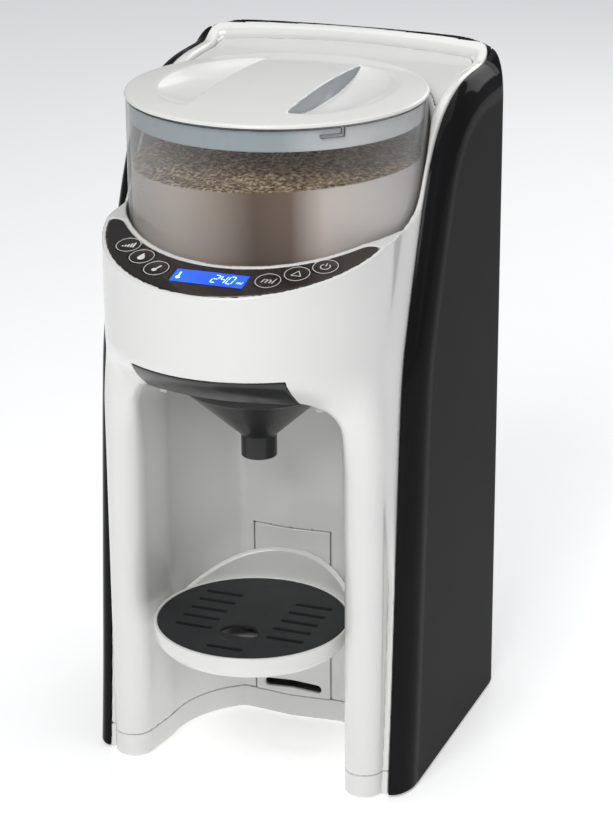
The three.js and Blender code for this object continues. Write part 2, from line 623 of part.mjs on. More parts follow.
function makePanel() {
  const holes = keySpots.map(([x, y]) => disc(KEY.r + 0.4, -10, 10, x, y, 16));
  const window = box(-LCD.half, LCD.half, LCD.y0, LCD.y1, -10, 10);
  return tilted(cut(crescent(0, -2.6, 0), ...holes, window));
}

const makeLcd = () => tilted(box(-LCD.half + GAP, LCD.half - GAP, LCD.y0 + GAP, LCD.y1 - GAP, -2.6, -0.2));

function makeControlBoard() {
  const switches = keySpots.map(([x, y]) => disc(2.5, -10, -KEY_STEM - KEY.travel - 0.2, x, y, 6));
  return tilted(union(crescent(6.5, -11.4, -9.8, 0.73), ...switches));
}

function makeMainBoard() {
  const chips = [[-20, 80, 30], [8, 80, 22], [-22, 130, 18], [5, 140, 36]].map(([y, z, h]) =>
    box(68, 75, y, y + 20, z, z + h));
  return union(box(74, 75.6, -34, 36, 60, 190), ...chips);
}

function makeInlet() {
  const { x, z, w, h } = INLET;
  const body = box(x - w / 2 + GAP, x + w / 2 - GAP, 98, 118.8, z - h / 2 + GAP, z + h / 2 - GAP);
  const well = box(x - w / 2 + 3, x + w / 2 - 3, 104, 125, z - h / 2 + 3, z + h / 2 - 3);
  const pins = [-6, 0, 6].map((dx) => box(x + dx - 0.8, x + dx + 0.8, 102, 114, z - 2.5, z + 2.5));
  return union(cut(body, well), ...pins);
}

// ---------------------------------------------------------------- assembly
const pieces = {
  base: [makeBase(), 'whiteGloss'],
  front_housing: [makeHousing(), 'whiteGloss'],
  right_side_cover: [makeSideCover(1), 'blackSatin'],
  left_side_cover: [makeSideCover(-1), 'blackSatin'],
  rear_cover: [makeRearCover(), 'blackSatin'],
  powder_drum: [makeDrum(), 'glass'],
  drum_base: [makeDrumBase(), 'grey'],
  powder_wheel: [makeWheel(), 'grey'],
  stirrer: [makeStirrer(), 'grey'],
  scraper: [box(-12, 12, -79, -36, 297.3, 299.2), 'rubber'],
  formula_powder: [turned([[0, 309], [80.6, 309], [80.6, 353], [60, 357], [30, POWDER_TOP + 2],
    [0, POWDER_TOP]]), 'powder'],
  lid_seal: [ring(78.5, 80.7, 377, DRUM.z1), 'seal'],
  lid_cap: [makeLidCap(), 'whiteGloss'],
  bay_seat: [makeSeat(), 'grey'],
  powder_chute: [makeChute(), 'grey'],
  drive_coupling: [makeCoupling(), 'steel'],
  gear_motor: [makeMotor(), 'steel'],
  motor_bracket: [makeMotorBracket(), 'grey'],
  funnel: [makeFunnel(), 'smoke'],
  funnel_cover: [makeFunnelCover(), 'smoke'],
  right_funnel_rail: [makeRail(1), 'whiteSatin'],
  left_funnel_rail: [makeRail(-1), 'whiteSatin'],
  mixing_nozzle: [union(disc(4.5, 240, 250, ...NOZZLE, 16), disc(2.4, 237.2, 241, ...NOZZLE, 12)), 'tube'],
  niche_back_panel: [makeBackPanel(), 'whiteGloss'],
  stand_bracket: [makeStandBracket(), 'whiteGloss'],
  drip_tray: [makeTray(), 'whiteGloss'],
  drip_grille: [makeGrille(), 'blackMatte'],
  control_panel: [makePanel(), 'panel'],
  display_module: [makeLcd(), 'blue'],
  control_board: [makeControlBoard(), 'board'],
  main_board: [makeMainBoard(), 'board'],
  water_tank: [makeTank(), 'tube'],
  tank_lid: [makeTankLid(), 'whiteSatin'],
  tank_seat: [makeTankSeat(), 'grey'],
  tank_valve: [makeTankValve(), 'grey'],
  outlet_gasket: [ring(6.6, 9.2, 58.3, TANK.z0 - GAP, ...TANK.valve, 20), 'rubber'],
  water_pump: [makePump(), 'grey'],
  heater: [makeHeater(), 'steel'],
  power_inlet: [makeInlet(), 'blackMatte'],
};
Object.entries(pieces).forEach(([name, [body, finish]]) => add(name, geometryOf(body), finish));
keySpots.forEach((spot, i) => add(KEY_NAMES[i], geometryOf(makeKey(spot)), 'panel'));

add('inlet_tube', tube(INLET_PATH, 3), 'tube');
add('pump_tube', tube(PUMP_PATH, 3), 'tube');
add('hot_water_tube', tube(HOT_WATER_PATH, 2.5), 'tube');

// Flat-headed screws: four hold the base, four hold the rear cover.
const screw = () => union(disc(SCREW.head, -1.8, 0, 0, 0, 10), disc(SCREW.shank, -9, -1.6, 0, 0, 8));

BASE_SCREWS.forEach(([x, y], i) => {
  const g = geometryOf(screw());
  g.applyMatrix4(new THREE.Matrix4().makeRotationX(Math.PI));
  g.translate(x, y, 1.6);
  add(`base_screw_${i + 1}`, g, 'steel');
});

REAR_SCREWS.forEach(([x, z], i) => {
  const g = geometryOf(screw());
  g.applyMatrix4(new THREE.Matrix4().makeRotationX(-Math.PI / 2));
  g.translate(x, rearY(x) - 0.4, z);
  add(`rear_screw_${i + 1}`, g, 'steel');
});

FOOT_SPOTS.forEach(([x, y], i) => {
  add(`foot_${i + 1}`, geometryOf(disc(9, 0, 2.2, x, y, 16)), 'rubber');
});

export default group;
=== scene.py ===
import functools
import math

import bmesh
import bpy
import numpy as np
from mathutils import Matrix, Vector, noise


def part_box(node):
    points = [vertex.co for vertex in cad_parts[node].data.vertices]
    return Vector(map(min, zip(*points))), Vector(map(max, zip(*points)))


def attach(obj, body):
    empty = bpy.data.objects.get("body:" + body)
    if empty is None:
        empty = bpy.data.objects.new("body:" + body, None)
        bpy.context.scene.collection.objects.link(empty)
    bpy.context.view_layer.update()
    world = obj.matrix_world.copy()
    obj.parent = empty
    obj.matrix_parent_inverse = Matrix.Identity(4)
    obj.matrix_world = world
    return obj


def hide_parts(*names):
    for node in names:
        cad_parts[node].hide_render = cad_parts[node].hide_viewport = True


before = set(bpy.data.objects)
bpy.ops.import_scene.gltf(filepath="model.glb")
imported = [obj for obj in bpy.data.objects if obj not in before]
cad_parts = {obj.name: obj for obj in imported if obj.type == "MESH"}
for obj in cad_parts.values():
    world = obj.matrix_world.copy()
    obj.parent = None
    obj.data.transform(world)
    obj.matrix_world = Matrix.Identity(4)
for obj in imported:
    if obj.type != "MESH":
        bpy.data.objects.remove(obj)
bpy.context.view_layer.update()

# ---------------- driving sizes, in millimetres
# x, y and z are measured from the powder drum's axis and from the floor.
MM = 0.001
drum_low, drum_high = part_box("powder_drum")
AXIS_Y = (drum_low.y + drum_high.y) / 2          # the drum's axis in the frame, in metres
DRUM_R = (drum_high.x - drum_low.x) / 2 / MM
DRUM_TOP = drum_high.z / MM
DRUM_FLOOR = drum_low.z / MM
COVER_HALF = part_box("right_side_cover")[1].x / MM
COVER_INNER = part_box("right_side_cover")[0].x / MM
REAR_REACH = (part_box("rear_cover")[1].y - AXIS_Y) / MM
BASE_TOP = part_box("front_housing")[0].z / MM
GAP = 0.3
WALL = 2.5
BODY_HALF = 86.5
COVER_WALL = 2.4
COVER_ROLL = 22.0
REAR_SKIN = COVER_WALL + GAP
REAR_CORNER = 5.0

BULGE_Y, BULGE_R, BULGE_GROW = -38.2, 80.0, 2.4
LEG_Y, LEG_HALF, NOSE_R = -66.2, 83.0, 11.25
CHIN_TOP, CHIN_BOTTOM = 267.0, 217.0
NICHE_R, NICHE_Y, NICHE_TOP, NICHE_CORNER = 57.0, -29.7, 241.3, 24.0
NICHE_FLARE, NICHE_BACK = 3.5, 15.0              # how far its mouth widens, and where its back wall stands
TILT, PANEL_Z, PANEL_DEPTH = 0.242, 336.3, 2.6
BAY_R, BAY_WALL_R, BAY_FLOOR = 84.2, 86.3, 280.0
RIM, WELL_R = 7.0, 87.2
HORN_Y = -50.8                                   # where the control panel's two horns end
FLAP_HALF, FLAP_LOW, FLAP_HIGH = 44.0, 241.6, 260.8
TRAY_Y = -45.0
FUNNEL_Y = -32.0
RIGHT_KEYS = [(31.9, -94.9), (44.6, -85.3), (56.8, -75.5)]
KEY_SPOTS = [(-x, y) for x, y in RIGHT_KEYS[::-1]] + RIGHT_KEYS
KEYS = ["signal", "water", "temperature", "volume", "start", "power"]
RIGHT_REAR_SCREWS = [(70, 24), (70, 360)]        # x and z
RIGHT_FEET = [(72.5, -46), (72, 98)]             # x and y
CORNERS = 4                                      # how many feet, base screws and rear screws there are

# ---------------- camera, floor and light
CAMERA_SPOT = (532.3, -1327.1, 740.7)
CAMERA_YAW, CAMERA_PITCH, CAMERA_ROLL = 21.25, 20.69, 0.34       # degrees
CAMERA_LENS = 115.97
LIGHT_TARGET = Vector((0, 0, 0.2))               # this and the floor's sizes are in metres
FLOOR_HALF, FLOOR_DROP = 4, 0.0002               # the floor lies just under the feet


def placed(points):
    """Points in millimetres about the drum's axis, as points of the frame."""
    return np.asarray(points, float) * MM + [0, AXIS_Y, 0]


def make_camera():
    data = bpy.data.cameras.new("camera")
    data.lens = CAMERA_LENS
    data.clip_end = 50
    camera = bpy.data.objects.new("camera", data)
    bpy.context.scene.collection.objects.link(camera)
    turn = (Matrix.Rotation(math.radians(CAMERA_YAW), 4, "Z")
            @ Matrix.Rotation(math.radians(90 - CAMERA_PITCH), 4, "X")
            @ Matrix.Rotation(math.radians(-CAMERA_ROLL), 4, "Z"))
    camera.matrix_world = Matrix.Translation(placed(CAMERA_SPOT)) @ turn
    bpy.context.scene.camera = camera


def area_light(name, spot, size, power):
    data = bpy.data.lights.new(name, "AREA")
    data.shape = "RECTANGLE"
    data.size, data.size_y = size
    data.energy = power
    light = bpy.data.objects.new(name, data)
    light.location = spot
    light.rotation_euler = (LIGHT_TARGET - Vector(spot)).to_track_quat("-Z", "Y").to_euler()
    bpy.context.scene.collection.objects.link(light)


def make_studio():
    world = bpy.data.worlds.new("studio")
    world.use_nodes = True
    wired(world.node_tree.nodes["Background"], Color=(0.93, 0.95, 1.0, 1), Strength=0.23)
    bpy.context.scene.world = world
    bpy.context.scene.view_settings.view_transform = "Standard"
    area_light("key_light", (0.0, -1.55, 1.5), (0.9, 0.9), 21)
    area_light("top_light", (0.1, 0.2, 1.6), (1.4, 1.4), 9)
    area_light("side_light", (1.7, -0.5, 0.9), (0.5, 1.2), 0.8)
    area_light("rear_light", (0.3, 1.6, 1.0), (1.2, 0.8), 6)


def make_floor():
    mesh = bpy.data.meshes.new("floor")
    form = bmesh.new()
    bmesh.ops.create_grid(form, x_segments=2, y_segments=2, size=FLOOR_HALF)
    form.to_mesh(mesh)
    form.free()
    floor = bpy.data.objects.new("floor", mesh)
    floor.location.z = -FLOOR_DROP
    bpy.context.scene.collection.objects.link(floor)
    white = plastic("floor_white", (0.9, 0.9, 0.9), 0.12, grain=0.0, spread=0.005,
                    Emission_Color=(1, 1, 1, 1), Emission_Strength=0.38)
    mesh.materials.append(white)


# ---------------- materials
GRAIN_DEPTH = 0.0001                             # metres
EDGE_BLEND = 0.25                                # how early a clear wall turns dense towards its edge


def wired(node, **sockets):
    """Gives each named input of a node a plain value or another node's output."""
    for name, value in sockets.items():
        socket = node.inputs[name.replace("_", " ")]
        if isinstance(value, bpy.types.NodeSocket):
            node.id_data.links.new(value, socket)
        else:
            socket.default_value = value
    return node


def added(source, kind, **sockets):
    """A new node in the tree that a socket belongs to."""
    return wired(source.id_data.nodes.new("ShaderNode" + kind), **sockets)


def shader_of(name):
    """A new material, its shader and the object's coordinates."""
    material = bpy.data.materials.new(name)
    material.use_nodes = True
    nodes = material.node_tree.nodes
    return material, nodes["Principled BSDF"], nodes.new("ShaderNodeTexCoord").outputs["Object"]


def noise_of(place, scale, detail=3.0):
    return added(place, "TexNoise", Vector=place, Scale=scale, Detail=detail).outputs["Fac"]


def ramp_of(factor, stops):
    node = added(factor, "ValToRGB", Fac=factor)
    while len(node.color_ramp.elements) < len(stops):
        node.color_ramp.elements.new(0.5)
    for element, (position, colour) in zip(node.color_ramp.elements, stops):
        element.position = position
        element.color = (*colour, 1)
    return node.outputs["Color"]


def range_of(value, from_low, from_high, low, high):
    limits = {"From_Min": from_low, "From_Max": from_high, "To_Min": low, "To_Max": high}
    return added(value, "MapRange", Value=value, **limits).outputs["Result"]


def drift(place, scale, low, high, detail=3.0):
    """A colour that wanders between two over the surface."""
    return ramp_of(noise_of(place, scale, detail), [(0.3, low), (0.7, high)])


def uneven(place, scale, low, high, detail=3.0):
    """A number that wanders between two over the surface."""
    return range_of(noise_of(place, scale, detail), 0.3, 0.7, low, high)


def bump_of(height, strength, distance=GRAIN_DEPTH):
    return added(height, "Bump", Height=height, Strength=strength, Distance=distance).outputs["Normal"]


def mixed(factor, first, second):
    node = added(factor, "Mix")
    node.data_type = "RGBA"
    return wired(node, Factor=factor, A=first, B=second).outputs["Result"]


def attribute_of(place, name):
    """The number that a mesh stores under a name."""
    node = added(place, "Attribute")
    node.attribute_name = name
    return node.outputs["Fac"]


def facing_of(place):
    return added(place, "LayerWeight", Blend=EDGE_BLEND).outputs["Facing"]


def across_of(place, stops):
    """A colour that changes from the machine's left side to its right, used to paint light and shade across a
    surface; the stops are x in millimetres.
    """
    x = added(place, "SeparateXYZ", Vector=place).outputs["X"]
    share = range_of(x, -DRUM_R * MM, DRUM_R * MM, 0, 1)
    return ramp_of(share, [((stop + DRUM_R) / (2 * DRUM_R), colour) for stop, colour in stops])


def plastic(name, colour, roughness, grain=0.1, grain_scale=1400, spread=0.03, wear=0.05, **sockets):
    """A moulded surface: slow colour drift, uneven gloss and a fine mould grain."""
    material, shader, place = shader_of(name)
    light = tuple(min(c * (1 + spread), 1) for c in colour)
    dark = tuple(c * (1 - spread) for c in colour)
    wired(shader, Base_Color=ramp_of(noise_of(place, 22), [(0.35, dark), (0.65, light)]),
          Roughness=uneven(place, 90, roughness * (1 - wear), roughness * (1 + wear), 5), **sockets)
    if grain:
        wired(shader, Normal=bump_of(noise_of(place, grain_scale, 2), grain))
    return material


def clear(name, colour, facing, edge, roughness, specular=0.5):
    """A thin clear wall: see-through face on and denser at its edges."""
    material, shader, place = shader_of(name)
    wired(shader, Base_Color=drift(place, 30, colour, tuple(c * 1.05 for c in colour)),
          Alpha=range_of(facing_of(place), 0, 1, facing, edge),
          Roughness=uneven(place, 120, roughness * 0.8, roughness * 1.3), Specular_IOR_Level=specular)
    return material


def drum_material():
    """The drum's clear wall; painted shade colours its cut edges and its far sides dark."""
    material, shader, place = shader_of("clear_drum")
    edge, facing = attribute_of(place, "edge"), facing_of(place)
    haze = drift(place, 30, (0.42, 0.42, 0.42), (0.45, 0.45, 0.45))
    # painted shade: a near-black colour for the wall's cut edges and for the wall where it is seen at a slant
    dark = drift(place, 60, (0.020, 0.024, 0.026), (0.028, 0.032, 0.034))
    denser = added(place, "Math")
    denser.operation = "MAXIMUM"
    for i, density in enumerate((range_of(facing, 0, 1, 0.03, 0.8), range_of(edge, 0, 1, 0, 0.85))):
        place.id_data.links.new(density, denser.inputs[i])
    wired(shader, Base_Color=mixed(edge, mixed(range_of(facing, 0.62, 0.95, 0, 1), haze, dark), dark),
          Alpha=denser.outputs[0], Roughness=uneven(place, 120, 0.03, 0.05))
    return material


def cover_material():
    """Black plastic whose rolled border is polished and whose side face is satin."""
    material, shader, place = shader_of("black_cover")
    shine = attribute_of(place, "polish")
    wired(shader, Base_Color=drift(place, 16, (0.008, 0.008, 0.008), (0.011, 0.011, 0.012)),
          Roughness=range_of(shine, 0, 1, 0.46, 0.08), Coat_Weight=range_of(shine, 0, 1, 0, 0.08),
          Coat_Roughness=0.07, Specular_IOR_Level=0.025, Normal=bump_of(noise_of(place, 2200, 2), 0.12))
    return material


def powder_material():
    """Crumbs on top; smooth and packed against the clear wall, with painted shade in the middle of the front
    and painted light towards its right side.
    """
    material, shader, place = shader_of("milk_powder")
    crumbs = ramp_of(noise_of(place, 420, 8), [(0.36, (0.075, 0.038, 0.014)), (0.5, (0.34, 0.225, 0.115)),
                                               (0.66, (0.78, 0.66, 0.47))])
    # painted shade and painted light: the packed side's colour is darkest just right of the middle and pales
    # towards the right
    packed = across_of(place, [(-80, (0.56, 0.50, 0.44)), (-30, (0.54, 0.47, 0.41)), (-4, (0.36, 0.29, 0.23)),
                               (18, (0.125, 0.083, 0.055)), (36, (0.19, 0.135, 0.10)),
                               (52, (0.80, 0.71, 0.65)), (74, (0.93, 0.88, 0.84))])
    wall = attribute_of(place, "wall")
    grain = bump_of(noise_of(place, 900, 8), range_of(wall, 0, 1, 0.8, 0.08), 0.0006)
    wired(shader, Base_Color=mixed(wall, crumbs, packed), Roughness=0.95, Specular_IOR_Level=0.1,
          Normal=grain)
    return material


def seal_material():
    """A milky blue seal with painted light: paler towards its right side."""
    material, shader, place = shader_of("seal_blue")
    # painted light makes the seal's colour pale towards its right side
    painted_light_tone = across_of(place, [(-80, (0.33, 0.40, 0.43)), (30, (0.38, 0.45, 0.48)), (56, (0.80, 0.82, 0.83)),
                             (80, (0.88, 0.89, 0.89))])
    wired(shader, Base_Color=painted_light_tone, Roughness=uneven(place, 120, 0.24, 0.38), Subsurface_Weight=0.2,
          Subsurface_Radius=(0.002, 0.002, 0.002))
    return material


def lid_material():
    """White gloss; the handle's two steep walls carry painted shade in grey-blue."""
    material, shader, place = shader_of("lid_white")
    white = ramp_of(noise_of(place, 22), [(0.35, (0.79, 0.79, 0.765)), (0.65, (0.81, 0.81, 0.785))])
    # painted shade in grey-blue for the handle's steep walls
    grey = drift(place, 60, (0.23, 0.25, 0.275), (0.28, 0.30, 0.32))
    wired(shader, Base_Color=mixed(attribute_of(place, "handle"), white, grey),
          Roughness=uneven(place, 90, 0.30, 0.36, 5), Coat_Weight=0.3)
    return material


def lit(name, dim, bright, scale, detail, strength, roughness):
    """A surface that glows unevenly."""
    material, shader, place = shader_of(name)
    glow = drift(place, scale, dim, bright, detail)
    wired(shader, Base_Color=glow, Emission_Color=glow, Emission_Strength=strength, Roughness=roughness)
    return material


def lit_mark(name, colour, strength):
    return lit(name, tuple(c * 0.9 for c in colour), colour, 300, 2, strength, 0.3)


def metal(name, colour, roughness):
    """Steel with a drawn grain that runs one way."""
    material, shader, place = shader_of(name)
    stretched = added(place, "Mapping", Vector=place, Scale=(1, 1, 0.05)).outputs["Vector"]
    streaks = noise_of(stretched, 900, 4)
    wired(shader, Base_Color=ramp_of(streaks, [(0.3, tuple(c * 0.85 for c in colour)), (0.7, colour)]),
          Roughness=range_of(streaks, 0.3, 0.7, roughness * 0.8, roughness * 1.25),
          Normal=bump_of(streaks, 0.1), Metallic=1.0)
    return material


def circuit(name):
    """Green solder mask with paler tracks."""
    material, shader, place = shader_of(name)
    brick = added(place, "TexBrick", Vector=place, Scale=220, Color1=(0.02, 0.13, 0.06, 1),
                  Color2=(0.03, 0.17, 0.08, 1), Mortar=(0.06, 0.30, 0.14, 1))
    wired(shader, Base_Color=brick.outputs["Color"], Roughness=0.35)
    return material


FINISHES = {                                     # each finish's material, and the record's slot it belongs to
    "white": (plastic("white_gloss", (0.80, 0.80, 0.78), 0.24, grain=0.03, spread=0.012,
                      Coat_Weight=0.5, Coat_Roughness=0.06), "white_gloss"),
    "satin": (plastic("white_satin", (0.66, 0.66, 0.635), 0.42, grain=0.12, spread=0.015), "white_satin"),
    "cover": (cover_material(), "black_cover"),
    "matte": (plastic("black_matte", (0.016, 0.017, 0.019), 0.6, grain=0.5, grain_scale=2600, spread=0.1),
              "black_matte"),
    "drum": (drum_material(), "clear_drum"),
    "lid": (lid_material(), "white_gloss"),
    "seal": (seal_material(), "seal_blue"),
    "smoke": (clear("smoked_clear", (0.024, 0.025, 0.024), 0.94, 0.98, 0.2, specular=0.3), "smoked_clear"),
    "tank": (clear("tank_clear", (0.60, 0.64, 0.66), 0.30, 0.75, 0.12), "clear_tube"),
    "tube": (plastic("tube_clear", (0.62, 0.66, 0.68), 0.3, Transmission_Weight=0.4), "clear_tube"),
    "panel": (plastic("panel_gloss", (0.012, 0.008, 0.006), 0.07, grain=0.0, spread=0.1,
                      Coat_Weight=0.4, Coat_Roughness=0.03), "panel_gloss"),
    "blue": (lit("display_blue", (0.012, 0.07, 0.72), (0.02, 0.12, 0.88), 40, 1, 0.9, 0.12), "display_blue"),
    "mark": (lit_mark("mark_white", (0.72, 0.72, 0.70), 0.12), "panel_gloss"),
    "digit": (lit_mark("digit_cyan", (0.45, 0.85, 1.0), 1.4), "display_blue"),
    "powder": (powder_material(), "powder_cream"),
    "steel": (metal("steel", (0.62, 0.63, 0.65), 0.28), "steel"),
    "board": (circuit("circuit_board"), "circuit_board"),
    "rubber": (plastic("rubber_black", (0.02, 0.02, 0.02), 0.75, grain=0.4, spread=0.12), "rubber_black"),
    "grey": (plastic("grey_plastic", (0.36, 0.37, 0.38), 0.4, grain=0.2), "grey_plastic"),
}


# ---------------- pieces from meshes
SOFT_BEND = 0.12                                 # the sine of a bend's angle


def piece(name, mesh, body_name, finish, *nodes):
    """Puts a mesh into the frame as one piece that stands for these CAD nodes."""
    material, slot = FINISHES[finish]
    mesh.materials.clear()
    mesh.materials.append(material)
    thing = bpy.data.objects.new(name, mesh)
    bpy.context.scene.collection.objects.link(thing)
    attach(thing, body_name)
    if nodes:
        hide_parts(*nodes)


def mark(mesh, name, values, domain="POINT"):
    """Stores one number for each point or face of a mesh under a name that its material reads."""
    stored = mesh.attributes.new(name, "FLOAT", domain)
    stored.data.foreach_set("value", np.asarray(values, np.float32))


def stored_points(mesh):
    """A mesh's points as they are stored, one row for each."""
    flat = np.empty(len(mesh.vertices) * 3)
    mesh.vertices.foreach_get("co", flat)
    return flat.reshape(-1, 3)


def points_of(mesh):
    """A mesh's points in millimetres about the drum's axis."""
    return stored_points(mesh) / MM - [0, AXIS_Y / MM, 0]


def mesh_from(name, points, faces, smooth_below=40):
    """A mesh in the frame from points in millimetres; edges under the angle are shaded smooth."""
    mesh = bpy.data.meshes.new(name)
    mesh.from_pydata(placed(points).tolist(), [], [list(map(int, f)) for f in faces])
    mesh.shade_smooth()
    mesh.set_sharp_from_angle(angle=math.radians(smooth_below))
    return mesh


def drawn(name, shape, body_name, finish, *nodes):
    """A piece from points and faces."""
    piece(name, mesh_from(name, *shape), body_name, finish, *nodes)


def soften(points, radius, closed):
    """Replaces the corners of an outline by small curves; bends gentler than SOFT_BEND stay."""
    points = [np.array(p, float) for p in points]
    last = len(points)
    result = []
    for i, p in enumerate(points):
        if not closed and i in (0, last - 1):
            result.append(p)
            continue
        before, after = points[i - 1] - p, points[(i + 1) % last] - p
        a, b = np.linalg.norm(before), np.linalg.norm(after)
        bend = abs(before[0] * after[1] - before[1] * after[0]) / (a * b)
        if bend < SOFT_BEND:
            result.append(p)
            continue
        reach = min(radius, 0.45 * a, 0.45 * b)
        start, end = p + before / a * reach, p + after / b * reach
        for t in np.linspace(0, 1, 5):
            result.append((1 - t) ** 2 * start + 2 * t * (1 - t) * p + t ** 2 * end)
    return result


def between(rings, count, wrap=False):
    """Quads between rings of points that follow each other, and from the last to the first if they wrap."""
    faces = []
    for level in range(rings if wrap else rings - 1):
        low, high = level * count, (level + 1) % rings * count
        faces += [(low + i, low + (i + 1) % count, high + (i + 1) % count, high + i) for i in range(count)]
    return faces


def turned(name, profile, radius, segments, middle_y=0, closed=True):
    """A solid of revolution; its profile, (radius, z) from the bottom, ends on the axis unless it closes."""
    outline = soften(profile, radius, closed)
    rings = outline if closed else outline[1:-1]
    angles = np.linspace(0, 2 * math.pi, segments, endpoint=False)
    points = [(r * math.cos(a), middle_y + r * math.sin(a), z) for r, z in rings for a in angles]
    faces = between(len(rings), segments, closed)
    if not closed:
        low, high, last = len(points), len(points) + 1, len(points) - segments
        points += [(0, middle_y, outline[0][1]), (0, middle_y, outline[-1][1])]
        for i in range(segments):
            j = (i + 1) % segments
            faces += [(low, j, i), (last + i, last + j, high)]
    return mesh_from(name, points, faces)


def inset_outline(points, distance):
    """An anticlockwise outline moved inwards, corner by corner."""
    points = np.asarray(points, float)
    along = np.roll(points, -1, 0) - points
    length = np.linalg.norm(along, axis=1, keepdims=True)
    normal = np.column_stack([-along[:, 1], along[:, 0]]) / length
    before = np.roll(normal, 1, 0)
    scale = distance / (1 + (normal * before).sum(1, keepdims=True))
    return points + (normal + before) * scale


def slab(points, low, high, edge, steps=3):
    """Points and faces of a flat plate with rounded edges, from an anticlockwise outline."""
    levels = [(low + edge * (1 - math.cos(t)), edge * (1 - math.sin(t)))
              for t in np.linspace(0, math.pi / 2, steps + 1)]
    levels += [(high - (z - low), d) for z, d in reversed(levels)]
    count = len(points)
    stack = []
    for z, d in levels:
        ring = inset_outline(points, d) if d > 1e-9 else np.asarray(points, float)
        stack.extend((x, y, z) for x, y in ring)
    faces = between(len(levels), count)
    faces.append(tuple(range(count - 1, -1, -1)))
    top = (len(levels) - 1) * count
    faces.append(tuple(range(top, top + count)))
    return stack, faces


def joined(parts):
    """Several (points, faces) sets as one."""
    points, faces = [], []
    for part_points, part_faces in parts:
        shift = len(points)
        points.extend(part_points)
        faces.extend(tuple(v + shift for v in face) for face in part_faces)
    return points, faces


def arc(cx, cy, r, start, end, count):
    """Points on an arc; the angles are in degrees."""
    angles = np.radians(np.linspace(start, end, count))
    return [(cx + r * math.cos(a), cy + r * math.sin(a)) for a in angles]


def both(*fields):
    """What solids share."""
    return functools.reduce(np.maximum, fields)


def either(*fields):
    """Solids joined."""
    return functools.reduce(np.minimum, fields)


def rounded(a, b, r):
    """What two solids share, with its edge rounded to a radius."""
    outside = np.hypot(np.maximum(a + r, 0), np.maximum(b + r, 0))
    return np.minimum(np.maximum(a, b), -r) + outside


def slopes(field, points):
    """Value and gradient of a field at points."""
    h = 0.02
    columns = [points[:, i] for i in range(3)]
    value = np.asarray(field(*columns), float) + np.zeros(len(points))
    slope = np.empty_like(points)
    for i in range(3):
        ahead, behind = list(columns), list(columns)
        ahead[i] = columns[i] + h
        behind[i] = columns[i] - h
        slope[:, i] = (field(*ahead) - field(*behind)) / (2 * h)
    return value, slope


def settled(field, points, step):
    """Moves points onto the field's surface and returns them with their normals."""
    for _ in range(4):                           # enough passes for the points to stop moving
        value, slope = slopes(field, points)
        size = np.maximum((slope ** 2).sum(1), 0.1)
        points = points - np.clip((value / size)[:, None] * slope, -0.4 * step, 0.4 * step)
    slope = slopes(field, points)[1]
    return points, slope / np.maximum(np.linalg.norm(slope, axis=1, keepdims=True), 1e-6)


def sampled(field, axes):
    """The field's values on a grid, worked out in slices."""
    x, y = axes[0][:, None, None], axes[1][None, :, None]
    shape = (len(axes[0]), len(axes[1]))
    slices = [np.broadcast_to(field(x, y, z[None, None, :]), (*shape, len(z))).astype(np.float32)
              for z in np.array_split(axes[2], max(len(axes[2]) // 24, 1))]
    return np.concatenate(slices, axis=2)


def net(values, axes, step):
    """Quads round the inside of a sampled field, with one point for each cell that the surface crosses."""
    strides = np.array([values.shape[1] * values.shape[2], values.shape[2], 1])
    cells, crossings, quads = [], [], []
    for axis in range(3):
        low = [slice(None)] * 3
        high = [slice(None)] * 3
        low[axis], high[axis] = slice(0, -1), slice(1, None)
        a, b = values[tuple(low)], values[tuple(high)]
        crossed = (a < 0) != (b < 0)
        index = np.argwhere(crossed)
        a, b = a[crossed], b[crossed]
        point = index.astype(float)
        point[:, axis] += a / (a - b)
        u, v = (axis + 1) % 3, (axis + 2) % 3
        corners = []
        for du, dv in ((0, 0), (-1, 0), (-1, -1), (0, -1)):
            cell = index.copy()
            cell[:, u] += du
            cell[:, v] += dv
            corners.append(cell @ strides)
            cells.append(corners[-1])
            crossings.append(point)
        quad = np.stack(corners, 1)
        quad[a > 0] = quad[a > 0][:, ::-1]
        quads.append(quad)
    used, inverse = np.unique(np.concatenate(cells), return_inverse=True)
    crossings = np.concatenate(crossings)
    count = np.bincount(inverse)
    points = np.stack([np.bincount(inverse, crossings[:, i]) / count for i in range(3)], 1)
    faces = np.searchsorted(used, np.concatenate(quads))
    origin = np.array([axis[0] for axis in axes])
    return origin + points * step, faces


def applied(thing, name):
    """The mesh that a scratch object's modifiers make; the object and its own mesh are removed."""
    graph = bpy.context.evaluated_depsgraph_get()
    result = bpy.data.meshes.new_from_object(thing.evaluated_get(graph))
    data = thing.data
    bpy.data.objects.remove(thing)
    if isinstance(data, bpy.types.Mesh):
        bpy.data.meshes.remove(data)
    result.name = name
    return result


def thinned(mesh, name, share):
    """The mesh with only a share of its faces."""
    rough = bpy.data.objects.new(name + "_rough", mesh)
    bpy.context.scene.collection.objects.link(rough)
    thin = rough.modifiers.new("thin", "DECIMATE")
    thin.ratio = share
    thin.use_collapse_triangulate = True
    return applied(rough, name)


def shaped(mesh, stored, normals):
    """The mesh with its points moved and smooth normals given to them."""
    mesh.vertices.foreach_set("co", stored.ravel())
    mesh.shade_smooth()
    mesh.normals_split_custom_set_from_vertices(normals.tolist())
    mesh.update()
    return mesh


